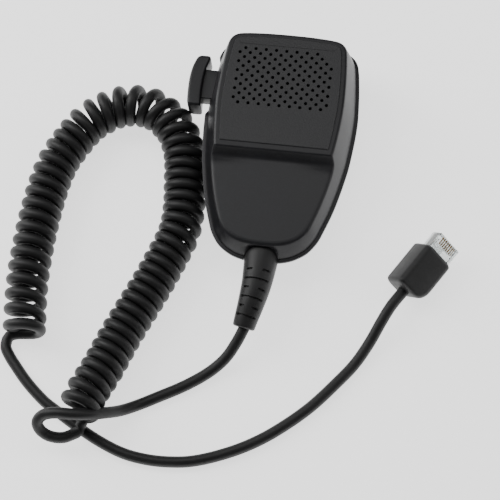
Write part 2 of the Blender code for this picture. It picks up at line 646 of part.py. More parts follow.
def make_capsule(metal, rubber, felt):
    x, y = CAPSULE_CENTRE
    felt_low = CROWN_Z - WALL - GAP - FELT_SIZE[2]
    centre_y = GRILLE_TOP_Y - (GRILLE_ROWS - 1) / 2 * ROW_PITCH
    box(
        "grille_cloth",
        (-FELT_SIZE[0] / 2, FELT_SIZE[0] / 2),
        (centre_y - FELT_SIZE[1] / 2, centre_y + FELT_SIZE[1] / 2),
        (felt_low, felt_low + FELT_SIZE[2]),
        felt,
    )
    for px, py in HOUSING_SCREWS[:2]:
        reach = SCREW_SHANK_RADIUS + 2 * CLEARANCE + POST_WALL
        side = math.copysign(1, px)
        x_span = sorted((px - side * reach, px + side * 10 * MM))
        y_span = (py - reach, py + 10 * MM)
        notch = box("cloth_notch", x_span, y_span, (felt_low - 1 * MM, felt_low + FELT_SIZE[2] + 1 * MM))
        combine(bpy.data.objects["grille_cloth"], notch)
    rib_x, rib_y = spring_rib_span()
    slot = box(
        "cloth_slot",
        (rib_x[0] - CLEARANCE, rib_x[1] + CLEARANCE),
        (rib_y[0] - CLEARANCE, rib_y[1] + CLEARANCE),
        (felt_low - 1 * MM, felt_low + FELT_SIZE[2] + 1 * MM),
    )
    combine(bpy.data.objects["grille_cloth"], slot)
    holder_top = felt_low - GAP
    holder_low = holder_top - CAPSULE_HEIGHT - 0.6 * MM
    inner, outer = CAPSULE_RADIUS + CLEARANCE, CAPSULE_RADIUS + CLEARANCE + HOLDER_WALL
    holder = turned("capsule_holder", [(outer, holder_low), (outer, holder_top)], (x, y, 0), finish=rubber)
    seat = turned("capsule_seat", [(inner, holder_low + HOLDER_WALL), (inner, holder_top + 1 * MM)], (x, y, 0))
    combine(holder, seat)
    low = holder_low + HOLDER_WALL + GAP
    high = holder_top - 0.4 * MM
    profile = [(CAPSULE_RADIUS, low), (CAPSULE_RADIUS, high - 0.3 * MM), (CAPSULE_RADIUS - 0.3 * MM, high)]
    turned("microphone_capsule", profile, (x, y, 0), finish=metal)


def make_hang_button(finish, plate_finish):
    """A mushroom button held by a screw from inside, over a thin contact plate."""
    profile = [
        (BUTTON_HEAD_RADIUS - BUTTON_EDGE, 0),
        (BUTTON_HEAD_RADIUS, BUTTON_EDGE),
        (BUTTON_HEAD_RADIUS, BUTTON_HEAD_HEIGHT - BUTTON_EDGE),
        (BUTTON_HEAD_RADIUS - BUTTON_EDGE, BUTTON_HEAD_HEIGHT),
        (BUTTON_NECK_RADIUS, BUTTON_HEAD_HEIGHT),
        (BUTTON_NECK_RADIUS, BACK_Z - GAP),
    ]
    button = turned("hang_button", profile, finish=finish, sides=32)
    bore_radius = SCREW_SHANK_RADIUS + CLEARANCE
    combine(button, post("button_bore", 0, 0, 1.6 * MM, BACK_Z + 1 * MM, bore_radius))
    floor = BACK_Z + WALL + GAP
    plate = box("hang_contact_plate", (-5 * MM, 5 * MM), (-5 * MM, 9 * MM), (floor, floor + 0.4 * MM), plate_finish)
    combine(plate, post("plate_hole", 0, 0, floor - 1 * MM, floor + 1 * MM, bore_radius))
    under_head = floor + 0.4 * MM + GAP
    length = under_head - 1.6 * MM - GAP
    head = (SCREW_HEAD_RADIUS, SCREW_HEAD_HEIGHT)
    screw("hang_button_screw", 0, 0, under_head, head, (SCREW_SHANK_RADIUS, length), bpy.data.materials["plated_steel"], -1)


# ---------------------------------------------------------------- cord


def relief_rings():
    """The strain relief: an inner flange, then a taper along its drooping route."""
    sides = 20
    path = spline_through(np.array(RELIEF_ROUTE_MM) * MM, 16)
    rings = []

    def ring(centre, forward, radius):
        forward = forward / np.linalg.norm(forward)
        side = np.cross(forward, (0, 0, 1))
        side /= np.linalg.norm(side)
        up = np.cross(side, forward)
        angles = 2 * math.pi * np.arange(sides) / sides
        rings.append([tuple(centre + radius * (math.cos(a) * side + math.sin(a) * up)) for a in angles])

    start = np.array([0, RELIEF_INNER_Y, CORD_EXIT_Z])
    down = np.array([0, -1.0, 0])
    ring(start, down, RELIEF_FLANGE_RADIUS)
    ring(start + down * RELIEF_FLANGE_THICKNESS, down, RELIEF_FLANGE_RADIUS)
    for i, centre in enumerate(path):
        forward = path[min(i + 1, len(path) - 1)] - path[max(i - 1, 0)]
        share = max(0, (i - 3) / (len(path) - 4))
        ring(centre, forward, RELIEF_START_RADIUS + (RELIEF_END_RADIUS - RELIEF_START_RADIUS) * share)
    return rings


def clamp_tab_z():
    return CORD_EXIT_Z - CORD_DIAMETER / 2 - CLEARANCE - CLAMP_WALL


def make_inner_cord(jacket, wires, clamp_finish, screw_finish):
    """The cord inside the housing: its jacket, four wires to the header and the clamp on it."""
    start = RELIEF_INNER_Y + GAP
    route = [(0, start / MM, CORD_EXIT_Z / MM), (0, (start + INNER_CORD_END_Y) / 2 / MM, CORD_EXIT_Z / MM)]
    route.append((0, INNER_CORD_END_Y / MM, CORD_EXIT_Z / MM))
    tube("inner_cord", route, CORD_DIAMETER, 4 * MM, jacket)
    header_z = (BOARD_Z + BOARD_THICKNESS + GAP + HEADER_HEIGHT / 2) / MM
    exit_z = CORD_EXIT_Z / MM
    first = (INNER_CORD_END_Y + GAP) / MM
    last = (HEADER_Y[0] - GAP) / MM
    for number, finish in enumerate(wires, 1):
        offset, end = ((number - (len(wires) + 1) / 2) * pitch / MM for pitch in WIRE_PITCH)
        wire = [(offset, first, exit_z), (offset * 1.2, first + 3, exit_z + 0.2), (end, first + 8, header_z + 0.4)]
        wire.append((end, last, header_z))
        tube(f"cord_wire_{number}", wire, WIRE_DIAMETER, 1.6 * MM, finish, resolution=1)
    middle = sum(CLAMP_Y) / 2
    outer = CORD_DIAMETER / 2 + CLEARANCE + CLAMP_WALL
    length = CLAMP_Y[1] - CLAMP_Y[0]
    loop = turned("cord_clamp", [(outer, 0), (outer, length)], (0, CLAMP_Y[1], CORD_EXIT_Z), (0, -1, 0), clamp_finish, 20)
    low = clamp_tab_z()
    tab = box("clamp_tab", (0, CLAMP_TAB_END_X), CLAMP_Y, (low, low + CLAMP_WALL))
    combine(loop, tab, "UNION")
    bore = turned(
        "clamp_bore",
        [(CORD_DIAMETER / 2 + CLEARANCE, -1 * MM), (CORD_DIAMETER / 2 + CLEARANCE, length + 1 * MM)],
        (0, CLAMP_Y[1], CORD_EXIT_Z),
        (0, -1, 0),
        sides=20,
    )
    combine(loop, bore)
    hole = post("clamp_hole", CLAMP_SCREW_X, middle, low - 1 * MM, low + 3 * MM, SMALL_SHANK_RADIUS + CLEARANCE)
    combine(loop, hole)
    small_screw("clamp_screw", CLAMP_SCREW_X, middle, low - GAP, screw_finish)


def make_cord(finish):
    loft("cord_boot", relief_rings(), finish)
    tube("cord_tail_mic", MIC_TAIL_ROUTE_MM, CORD_DIAMETER, 1.4 * CORD_DIAMETER, finish)
    tube("cord_coil", COIL_ROUTE_MM, COIL_DIAMETER, 6.5 * MM, finish, resolution=4)
    tube("cord_tail_plug", PLUG_TAIL_ROUTE_MM, CORD_DIAMETER, 1.4 * CORD_DIAMETER, finish)


# ---------------------------------------------------------------- plug


def plug_frame():
    """The plug's own frame in the world: heading along the floor, then rolled onto its corner."""
    place = Matrix.Translation(Vector(PLUG_REAR_MM) * MM)
    return place @ Matrix.Rotation(PLUG_HEADING, 4, "Z") @ Matrix.Rotation(PLUG_ROLL, 4, "X")


def half(width):
    return (-width / 2, width / 2)


def make_plug(rubber, clear, gold):
    place = plug_frame()
    cover = box("plug_boot", (0, COVER_LENGTH), half(COVER_WIDTH), half(COVER_THICKNESS), rubber, place, COVER_CORNER)
    hump_low = -COVER_THICKNESS / 2 - COVER_HUMP_HEIGHT
    hump_z = (hump_low, -COVER_THICKNESS / 2 + 2 * COVER_HUMP_HEIGHT)
    hump = box("cover_hump", COVER_HUMP_X, half(COVER_HUMP_WIDTH), hump_z, None, place, 1.2 * MM)
    combine(cover, hump, "UNION")
    plug_top = PLUG_BOTTOM_Z + PLUG_THICKNESS
    latch_top = PLUG_BOTTOM_Z - GAP
    pocket_z = (latch_top - LATCH_THICKNESS - LATCH_DROP - CLEARANCE, plug_top + CLEARANCE)
    pocket = box(
        "cover_pocket",
        (PLUG_REAR_X - GAP, COVER_LENGTH + 1 * MM),
        half(PLUG_WIDTH + 2 * CLEARANCE),
        pocket_z,
        None,
        place,
    )
    combine(cover, pocket)
    nose = PLUG_REAR_X + PLUG_LENGTH
    body = box("plug_body", (PLUG_REAR_X, nose), half(PLUG_WIDTH), (PLUG_BOTTOM_Z, plug_top), clear, place)
    contact_x = (nose - 0.6 * MM - CONTACT_SIZE[0], nose - 0.6 * MM)
    contact_z = (plug_top - 0.2 * MM - CONTACT_SIZE[2], plug_top - 0.2 * MM)
    slots = []
    for number in range(CONTACT_COUNT):
        y = (number - (CONTACT_COUNT - 1) / 2) * CONTACT_PITCH
        y_span = (y - CONTACT_SIZE[1] / 2, y + CONTACT_SIZE[1] / 2)
        box(f"plug_contact_{number + 1}", contact_x, y_span, contact_z, gold, place)
        slot_x = (contact_x[0] - CONTACT_GAP, contact_x[1] + CONTACT_GAP)
        slot_y = (y_span[0] - CONTACT_GAP, y_span[1] + CONTACT_GAP)
        slots.append(box("slot", slot_x, slot_y, (contact_z[0] - CONTACT_GAP, plug_top + 1 * MM), None, place))
    bpy.context.view_layer.update()
    combine(body, join_meshes("contact_slot_cutter", slots))
    hinge_x = nose - 1.2 * MM
    free_x = hinge_x - LATCH_LENGTH
    bend_x = hinge_x - 2.5 * MM
    profile = [
        (hinge_x, latch_top),
        (hinge_x, latch_top - LATCH_THICKNESS),
        (bend_x, latch_top - LATCH_THICKNESS - 0.4 * MM),
        (free_x, latch_top - LATCH_THICKNESS - LATCH_DROP),
        (free_x, latch_top - LATCH_DROP),
        (bend_x, latch_top - 0.3 * MM),
    ]
    rings = [[(x, y, z) for x, z in profile] for y in half(LATCH_WIDTH)]
    loft("plug_latch", rings, clear, place)


def build():
    clear_scene()
    shell = material("moulded_black_abs", (0.028, 0.028, 0.030), 0.45)
    cord = material("black_polyurethane", (0.018, 0.018, 0.018), 0.55)
    steel = material("plated_steel", (0.55, 0.55, 0.56), 0.35, 1.0)
    brass = material("gold_plated_brass", (0.80, 0.56, 0.22), 0.3, 1.0)
    rubber = material("black_rubber", (0.015, 0.015, 0.015), 0.6)
    clear = material("clear_polycarbonate", (0.85, 0.87, 0.88), 0.1, 0.0, 0.4)
    laminate = material("green_board_laminate", (0.02, 0.16, 0.07), 0.4)
    felt = material("black_felt", (0.02, 0.02, 0.02), 0.9)
    wires = [
        material("red_wire", (0.5, 0.02, 0.02), 0.4),
        material("white_wire", (0.7, 0.7, 0.7), 0.4),
        material("blue_wire", (0.02, 0.05, 0.5), 0.4),
        material("yellow_wire", (0.6, 0.5, 0.03), 0.4),
    ]
    make_front_housing(shell)
    make_rear_housing(shell)
    make_housing_screws(steel)
    make_ptt_button(shell)
    make_ptt_switch(shell, brass)
    make_ptt_spring(steel)
    make_board(laminate)
    make_board_parts(rubber, steel, material("blue_plastic", (0.03, 0.12, 0.5), 0.4), rubber)
    make_capsule(steel, rubber, felt)
    make_hang_button(steel, brass)
    make_inner_cord(cord, wires, steel, steel)
    make_cord(cord)
    make_plug(rubber, clear, brass)


build()
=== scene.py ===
"""Looks of the hand microphone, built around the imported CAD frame. Metres, +Z out of the grille.

The microphone lies on its hang-up button on the plane z = 0. Shapes are surfaces worked out as
whole numpy arrays. The outlines and the strain relief's route repeat the CAD source's points in
millimetres. The cord has its own points, which stay close to the CAD route except where the two
tails turn into the helix.
"""

import math

import bmesh
import bpy
import numpy as np
from mathutils import Matrix, Vector


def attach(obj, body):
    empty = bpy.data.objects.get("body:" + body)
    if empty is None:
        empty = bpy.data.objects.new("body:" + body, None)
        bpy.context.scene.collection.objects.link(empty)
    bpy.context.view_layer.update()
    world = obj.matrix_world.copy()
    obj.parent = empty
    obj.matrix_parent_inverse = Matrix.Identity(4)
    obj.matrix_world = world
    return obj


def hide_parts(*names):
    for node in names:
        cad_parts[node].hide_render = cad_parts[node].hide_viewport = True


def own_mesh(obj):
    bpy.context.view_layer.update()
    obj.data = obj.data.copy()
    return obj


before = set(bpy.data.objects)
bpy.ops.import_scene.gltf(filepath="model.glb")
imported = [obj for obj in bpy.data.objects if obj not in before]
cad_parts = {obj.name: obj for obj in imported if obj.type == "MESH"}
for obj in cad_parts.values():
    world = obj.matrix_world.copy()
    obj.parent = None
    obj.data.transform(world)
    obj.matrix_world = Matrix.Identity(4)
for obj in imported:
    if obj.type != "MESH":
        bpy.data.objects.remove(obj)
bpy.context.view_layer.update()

MM = 0.001
GAP = 0.3
UP = np.array([0.0, 0.0, 1.0])

# ---------------------------------------------------------------- sizes, in millimetres

FLANGE_OUTLINE = [
    (0, 50.8), (10.5, 50.6), (18.5, 50), (23.2, 49), (26, 47.4), (28, 45), (29.2, 41.2), (30.2, 34),
    (30.9, 27), (31.4, 19.5), (31.35, 13), (30.95, 6.5), (30.2, -1.8), (29.1, -8.6), (27.5, -16.6),
    (25.65, -23.9), (23.3, -31.1), (22, -34.7), (20.5, -37.5), (18.5, -40.3), (16.2, -42.4),
    (12.8, -44.5), (9.6, -45.7), (5.2, -46.6), (0, -46.8),
]
CROWN_OUTLINE = [
    (0, 48.5), (8, 48.4), (14, 48.1), (18.5, 47.7), (20.9, 47.15), (22.8, 45.8), (23.9, 43.5),
    (24.3, 40.5), (24.85, 35), (25.25, 28.5), (25.5, 21.5), (25.4, 15), (25, 9), (24.45, 3),
    (23.75, -2.4), (22.9, -6.9), (21.9, -12.1), (20.4, -18.4), (18.7, -24.3), (16.7, -30), (15.3, -33),
    (13.4, -35.6), (10.6, -37.5), (6.7, -38.6), (0, -39.1),
]
BACK_Z = 5.0
PARTING_Z = 15.3
CROWN_Z = 29.3
WALL = 2.0
FLANGE_PROUD = 1.2
FLANGE_HEIGHT = 1.6
BACK_INSET = 6.5
STEP_TOP_Y = -3.6
LEDGE_WIDTH = 2.1
LEDGE_DROP = 0.6
CHAMFER = 0.4
RIM_RADIUS = 0.9

HOLE_RADIUS = 0.62
HOLE_PITCH = 4.22
ROW_PITCH = 2.05
GRILLE_TOP_Y = 40.5
GRILLE_ROWS = 13
HOLES_PER_ROW = 9
HOLE_SINK = 0.16  # how much wider a sound hole's mouth is

HOUSING_SCREWS = [(17.2, 40.0), (-17.2, 40.0), (11.6, -29.5), (-11.6, -29.5)]
SCREW_UNDER_HEAD_Z = 7.7

RELIEF_ROUTE = [
    (0, -40, 14.2), (-0.1, -48.5, 14.2), (-0.5, -56, 13.9), (-1.6, -63.5, 13), (-2.9, -70, 11.5),
    (-3.6, -73.6, 10.4),
]
RELIEF_END = (-4.3, -75.6, 9.6)
RELIEF_SEAT = (0, -39, 14.2)
RELIEF_START_RADIUS = 6.8

CORD_DIAMETER = 4.6
COIL_RADIUS = 6.5
COIL_START_ANGLE = math.radians(160)
COIL_PITCH = 4.66
COIL_SWAY = 0.3  # how far the turns wander sideways, as on a used cord
MIC_TAIL = [
    (-3, -72.6, 10.4), (-3.7, -74.4, 9.85), (-6, -79.3, 7.6), (-9.7, -85.2, 4.9), (-15.7, -91.1, 2.9),
    (-24.4, -97.5, 2.4), (-34.9, -103.7, 2.4), (-41.6, -107.8, 3.2), (-47.4, -111.8, 6.5),
    (-52.9, -115.4, 12.5), (-58.1, -118.1, 17.4), (-64.4, -119.3, 19.2), (-70.8, -119.4, 18.8),
    (-75.7, -120.2, 16.9), (-78.2, -122.4, 14), (-77, -124.6, 10.5), (-73.4, -125.9, 8.1),
    (-68.3, -125.6, 7.1), (-63.5, -123.1, 7),
]
COIL_AXIS = [
    (-62.9, -115.5, 13.7), (-61.4, -108.3, 12.7), (-56.4, -95.5, 10.7), (-51.6, -81.6, 9.4),
    (-45.8, -66, 9.1), (-39.1, -47.4, 9.1), (-35.1, -35, 9.1), (-34.6, -23.8, 9.1), (-36.2, -12, 9.1),
    (-38.4, -0.4, 9.1), (-43.3, 9.9, 9.1), (-49.1, 15.4, 9.1), (-54.3, 18.4, 9.1), (-60.2, 19.4, 9.1),
    (-66.2, 18.7, 9.1), (-72.1, 15.9, 9.1), (-79.4, 9.6, 9.1), (-85.2, -0.4, 9.1), (-89.9, -11.5, 9.1),
    (-92.7, -26.5, 9.1), (-93.6, -43.3, 9.1), (-92.9, -64, 9), (-91.2, -83.1, 8.9),
]
PLUG_TAIL = [
    (-98.6, -86.3, 2.4), (-98.6, -89.4, 2.4), (-96.7, -92.6, 2.4), (-93.6, -96.4, 2.4),
    (-87.2, -103.4, 2.4), (-79.8, -109.8, 2.4), (-74.1, -113.4, 2.4), (-64.4, -119.1, 2.4),
    (-54.4, -124.2, 2.4), (-44.8, -127.8, 2.4), (-35.5, -129.3, 2.4), (-26.3, -129.3, 2.4),
    (-16.9, -127.9, 2.4), (-6.4, -124.2, 2.4), (4.3, -118.8, 2.4), (14.5, -111.6, 2.4), (26, -101, 2.4),
    (36, -88.7, 2.4), (41.8, -80.6, 2.7), (46.5, -71.8, 4.1), (50.3, -63.5, 6.9), (53.5, -57, 8.5),
    (57.7, -50.1, 8.55), (59, -48, 8.55),
]

PLUG_REAR = (57.5, -50.4, 8.55)
PLUG_HEADING = math.radians(59.1)
PLUG_ROLL = math.radians(40)
CONTACT_Y = (np.arange(8) - 3.5) * 1.02


# ---------------------------------------------------------------- surfaces


def curve_through(points, count):
    """Equally spaced points on the Catmull-Rom curve: each span is the cubic whose end slopes are
    half the chord between the neighbouring points."""
    points = np.array(points, float)
    padded = np.concatenate([[2 * points[0] - points[1]], points, [2 * points[-1] - points[-2]]])
    a, b, c, d = (padded[i : len(padded) - 3 + i, None] for i in range(4))
    t = np.linspace(0, 1, 40, endpoint=False)[None, :, None]
    spans = b + t * (c - a) / 2 + t**2 * (a - 2.5 * b + 2 * c - d / 2) + t**3 * (3 * b - a - 3 * c + d) / 2
    dense = np.concatenate([spans.reshape(-1, points.shape[1]), points[-1:]])
    return respaced(dense, np.linspace(0, 1, count))


def arc_length(line):
    """Distance along a polyline at each of its points."""
    return np.concatenate([[0], np.cumsum(np.linalg.norm(np.diff(line, axis=0), axis=1))])


def respaced(line, shares):
    """Points of a polyline at the given shares of its length."""
    along = arc_length(line)
    at = np.asarray(shares) * along[-1]
    return np.stack([np.interp(at, along, line[:, k]) for k in range(line.shape[1])], axis=1)


def unit(vectors):
    """The vectors scaled to length one."""
    return vectors / np.maximum(np.linalg.norm(vectors, axis=-1, keepdims=True), 1e-12)


def smooth(x):
    """Smoothstep: 3x^2 - 2x^3 between 0 and 1."""
    x = np.clip(x, 0, 1)
    return x * x * (3 - 2 * x)


def make_mesh(name, points_mm, quads, others=(), finishes=(), angle=35, place=None):
    """A mesh object from millimetre points. Normals are turned outwards, doubles merged."""
    points = np.asarray(points_mm, float).reshape(-1, 3) * MM
    if place is not None:
        matrix = np.array(place)
        points = points @ matrix[:3, :3].T + matrix[:3, 3]
    mesh = bpy.data.meshes.new(name)
    faces = np.asarray(quads, int).reshape(-1, 4).tolist() + [list(f) for f in others]
    mesh.from_pydata(points.tolist(), [], faces)
    work = bmesh.new()
    work.from_mesh(mesh)
    bmesh.ops.remove_doubles(work, verts=work.verts, dist=2e-6)
    bmesh.ops.dissolve_degenerate(work, edges=work.edges, dist=1e-7)
    bmesh.ops.recalc_face_normals(work, faces=work.faces)
    work.to_mesh(mesh)
    work.free()
    obj = bpy.data.objects.new(name, mesh)
    bpy.context.scene.collection.objects.link(obj)
    for finish in finishes:
        mesh.materials.append(finish)
    shade(obj, angle)
    return obj


def shade(obj, angle):
    """Smooth shading, with edges sharper than the angle left sharp."""
    obj.data.shade_smooth()
    obj.data.set_sharp_from_angle(angle=math.radians(angle))


def grid_quads(index, closed_rows=False, closed_columns=False):
    """Quads of a matrix of vertex numbers, optionally closed along either direction."""
    if closed_columns:
        index = np.concatenate([index, index[:, :1]], axis=1)
    if closed_rows:
        index = np.concatenate([index, index[:1]], axis=0)
    corners = [index[:-1, :-1], index[:-1, 1:], index[1:, 1:], index[1:, :-1]]
    return np.stack(corners, axis=-1).reshape(-1, 4)


def lofted(name, rings, finishes, caps=True, angle=35, place=None):
    """Rings of equally many points joined by quads, with a flat cap on each end."""
    rings = np.asarray(rings, float)
    levels, count = rings.shape[:2]
    index = np.arange(levels * count).reshape(levels, count)
    ends = [index[0].tolist(), index[-1].tolist()] if caps else []
    return make_mesh(name, rings, grid_quads(index, closed_columns=True), ends, finishes, angle, place)


def rings_about_z(profile, sides, base=0.0):
    """The profile's points (r, h) carried round Z: (r cos a, r sin a, base + h)."""
    profile = np.array(profile, float)
    turn = np.linspace(0, 2 * np.pi, sides, endpoint=False)
    x, y = profile[:, :1] * np.cos(turn), profile[:, :1] * np.sin(turn)
    return np.stack([x, y, np.broadcast_to(base + profile[:, 1:], x.shape)], axis=-1)


def turned(name, profile, finishes, origin=(0, 0, 0), direction=(0, 0, 1), sides=48, angle=35, place=None):
    """A solid of revolution: (radius, height) carried round the direction through the origin."""
    rings = rings_about_z(profile, sides)
    matrix = np.array(Vector(direction).to_track_quat("Z", "Y").to_matrix())
    return lofted(name, rings @ matrix.T + np.array(origin, float), finishes, True, angle, place)


def rounded(profile, radius, steps=4):
    """The polyline with each inner corner replaced by a quadratic curve that starts radius before it."""
    profile = np.array(profile, float)
    before, corner, after = profile[:-2], profile[1:-1], profile[2:]
    reach_in = np.minimum(radius, np.linalg.norm(corner - before, axis=1) * 0.45)[:, None]
    reach_out = np.minimum(radius, np.linalg.norm(after - corner, axis=1) * 0.45)[:, None]
    start = corner + unit(before - corner) * reach_in
    end = corner + unit(after - corner) * reach_out
    t = np.linspace(0, 1, steps + 1)[None, :, None]
    arcs = (1 - t) ** 2 * start[:, None] + 2 * t * (1 - t) * corner[:, None] + t**2 * end[:, None]
    return np.concatenate([profile[:1], arcs.reshape(-1, profile.shape[1]), profile[-1:]])


def swept(name, line, radius, finishes, reference, sides=16, angle=60, uv=True, lift=None):
    """A round tube: each ring is radius * (cos a * n + sin a * b) about the line, where n is the
    reference made square to the line and b = t x n. lift is added to the radius, ring by side."""
    line = np.asarray(line, float)
    tangent = unit(np.gradient(line, axis=0))
    n = unit(reference - (reference * tangent).sum(1, keepdims=True) * tangent)
    b = np.cross(tangent, n)
    turn = np.linspace(0, 2 * np.pi, sides, endpoint=False)
    size = np.broadcast_to(np.asarray(radius, float).reshape(-1, 1), (len(line), sides))
    if lift is not None:
        size = size + lift
    rings = line[:, None] + size[..., None] * (
        np.cos(turn)[None, :, None] * n[:, None] + np.sin(turn)[None, :, None] * b[:, None]
    )
    tube = lofted(name, rings, finishes, True, angle)
    if uv:
        add_tube_uv(tube, line, sides, float(np.mean(radius)))
    return tube


def add_tube_uv(tube, line, sides, radius):
    """UV in metres: u round the tube, v along its line."""
    mesh = tube.data
    layer = mesh.uv_layers.new(name="along")
    corners = np.empty(len(mesh.loops), np.int32)
    mesh.loops.foreach_get("vertex_index", corners)
    ring, side = corners // sides, corners % sides
    starts = np.array([p.loop_start for p in mesh.polygons])
    first = np.repeat(starts, [p.loop_total for p in mesh.polygons])
    across = side[np.minimum(first + 2, len(side) - 1)]
    wraps = (side == 0) & (np.maximum(side[first], across) > sides / 2)
    around = np.where(wraps, sides, side) / sides * 2 * np.pi * radius * MM
    along = arc_length(line)[np.minimum(ring, len(line) - 1)] * MM
    layer.data.foreach_set("uv", np.stack([around, along], axis=1).astype(np.float32).ravel())


def cut(obj, cutters, operation="DIFFERENCE"):
    """Applies an exact Boolean with each cutter, then removes the cutters."""
    for cutter in cutters:
        step = obj.modifiers.new("cut", "BOOLEAN")
        step.operation = operation
        step.solver = "EXACT"
        step.object = cutter
    graph = bpy.context.evaluated_depsgraph_get()
    made = bpy.data.meshes.new_from_object(obj.evaluated_get(graph))
    obj.modifiers.clear()
    obj.data = made
    for cutter in cutters:
        bpy.data.objects.remove(cutter, do_unlink=True)


def block(name, x, y, z, finishes=(), edge=0.0, segments=3, place=None):
    """A box with rounded edges, from its spans in millimetres."""
    corners = [(i, j, k) for k in z for j in y for i in x]
    quads = [(0, 1, 3, 2), (4, 5, 7, 6), (0, 1, 5, 4), (1, 3, 7, 5), (3, 2, 6, 7), (2, 0, 4, 6)]
    made = make_mesh(name, corners, quads, (), finishes, 40, place)
    if edge:
        step = made.modifiers.new("edge", "BEVEL")
        step.width = edge * MM
        step.segments = segments
        step.use_clamp_overlap = True
        graph = bpy.context.evaluated_depsgraph_get()
        mesh = bpy.data.meshes.new_from_object(made.evaluated_get(graph))
        made.modifiers.clear()
        made.data = mesh
        shade(made, 40)
    return made


# ---------------------------------------------------------------- finishes


def colour(text):
    """An sRGB hex value as linear RGBA."""
    srgb = np.array([int(text[i : i + 2], 16) for i in (1, 3, 5)]) / 255
    linear = np.where(srgb <= 0.04045, srgb / 12.92, ((srgb + 0.055) / 1.055) ** 2.4)
    return (*linear.tolist(), 1.0)


def add_node(tree, kind, values=None, **settings):
    """A node with its settings; values maps an input's name or number to a value or a linked output."""
    made = tree.nodes.new(kind)
    for key, value in settings.items():
        setattr(made, key, value)
    for key, value in (values or {}).items():
        if isinstance(value, bpy.types.NodeSocket):
            tree.links.new(value, made.inputs[key])
        else:
            made.inputs[key].default_value = value
    return made


def finish(name, dark, light, roughness, grain=(), uv=False, **shader_values):
    """A principled finish. Each grain layer is (size in mm, stretch, colour share, roughness share,
    bump height in mm); the colour runs from dark to light and the roughness between its two values."""
    made = bpy.data.materials.new(name)
    made.use_nodes = True
    tree = made.node_tree
    shader = tree.nodes["Principled BSDF"]
    for key, value in shader_values.items():
        shader.inputs[key.replace("_", " ")].default_value = value
    where = add_node(tree, "ShaderNodeTexCoord").outputs["UV" if uv else "Object"]
    tint, rough, height = None, None, None
    for size, stretch, tint_share, rough_share, bump in grain:
        mapped = add_node(tree, "ShaderNodeMapping", {"Vector": where, "Scale": stretch})
        noise = add_node(
            tree,
            "ShaderNodeTexNoise",
            {"Vector": mapped.outputs[0], "Scale": 1 / (size * MM), "Detail": 3.0, "Roughness": 0.55},
        ).outputs["Fac"]
        if tint_share:
            tint = weighted(tree, noise, tint_share, tint)
        if rough_share:
            rough = weighted(tree, noise, rough_share, rough)
        if bump:
            height = weighted(tree, noise, bump * MM, height)
    if tint is None:
        shader.inputs["Base Color"].default_value = colour(light)
    else:
        ramp = add_node(tree, "ShaderNodeMapRange", {"Value": tint, "From Min": 0.3, "From Max": 0.7})
        mix = add_node(tree, "ShaderNodeMix", {"Factor": ramp.outputs[0]}, data_type="RGBA")
        for key, text in (("A", dark), ("B", light)):
            socket = next(s for s in mix.inputs if s.name == key and s.type == "RGBA")
            socket.default_value = colour(text)
        result = next(s for s in mix.outputs if s.type == "RGBA")
        tree.links.new(result, shader.inputs["Base Color"])
    if rough is None:
        shader.inputs["Roughness"].default_value = roughness[1]
    else:
        low, high = roughness
        values = {"Value": rough, "From Min": 0.3, "From Max": 0.7, "To Min": low, "To Max": high}
        spread = add_node(tree, "ShaderNodeMapRange", values)
        tree.links.new(spread.outputs[0], shader.inputs["Roughness"])
    if height is not None:
        bumped = add_node(tree, "ShaderNodeBump", {"Height": height, "Distance": 1.0, "Strength": 1.0})
        tree.links.new(bumped.outputs[0], shader.inputs["Normal"])
    return made


def weighted(tree, value, share, total):
    """value * share, added to the total so far."""
    scaled = add_node(tree, "ShaderNodeMath", {0: value, 1: share}, operation="MULTIPLY").outputs[0]
    if total is None:
        return scaled
    return add_node(tree, "ShaderNodeMath", {0: scaled, 1: total}, operation="ADD").outputs[0]


ALL = (1, 1, 1)
# Spark-textured ABS: the mould's fine grain scatters light, so the face looks dry, with tiny glints.
# The real grain is about 0.2 mm; it is drawn at 0.5 mm so that it shows.
textured_abs = finish(
    "spark_textured_black_abs", "#1c1c1e", "#333335", (0.42, 0.62),
    [(0.55, ALL, 0.7, 0.6, 0.10), (6.0, ALL, 0.3, 0.4, 0.0)], Specular_IOR_Level=0.5, IOR=1.53,
)
# Satin ABS: the same plastic from a smoother part of the mould, with a soft even sheen.
satin_abs = finish(
    "satin_black_abs", "#1e1e20", "#29292c", (0.30, 0.40),
    [(0.9, ALL, 0.35, 0.5, 0.012), (14.0, ALL, 0.65, 0.5, 0.0)], Specular_IOR_Level=0.3, IOR=1.53,
)
# Polyurethane jacket: extruded and heat-set in turns, matte with faint lengthwise flow marks.
cord_polyurethane = finish(
    "matte_black_polyurethane", "#131313", "#202021", (0.44, 0.58),
    [(0.8, (1, 0.12, 1), 0.6, 0.6, 0.02), (9.0, ALL, 0.4, 0.4, 0.0)], uv=True, IOR=1.49,
)
# Moulded rubber of the strain relief and the plug's cover: soft sheen and fine mould grain.
boot_rubber = finish(
    "moulded_black_rubber", "#141414", "#222223", (0.42, 0.56),
    [(0.7, ALL, 0.6, 0.6, 0.02), (5.0, ALL, 0.4, 0.4, 0.0)], IOR=1.5,
)
# Nickel plate over turned steel: bright, with fine tool marks and a few duller patches.
nickel_plate = finish(
    "nickel_plated_steel", "#a9a7a2", "#c6c4bf", (0.16, 0.32),
    [(0.3, ALL, 0.4, 0.5, 0.004), (4.0, ALL, 0.6, 0.5, 0.0)], Metallic=1.0,
)
# Zinc-plated screw steel: greyer than the nickel, slightly dull.
zinc_plate = finish(
    "zinc_plated_steel", "#83868a", "#a3a6aa", (0.28, 0.42),
    [(0.35, ALL, 0.5, 0.5, 0.004)], Metallic=1.0,
)
# Gold flash over nickel: the thin contacts of the plug.
gold_plate = finish(
    "gold_flashed_contact", "#b98a43", "#d9ad63", (0.2, 0.34),
    [(0.4, ALL, 1.0, 1.0, 0.002)], Metallic=1.0,
)
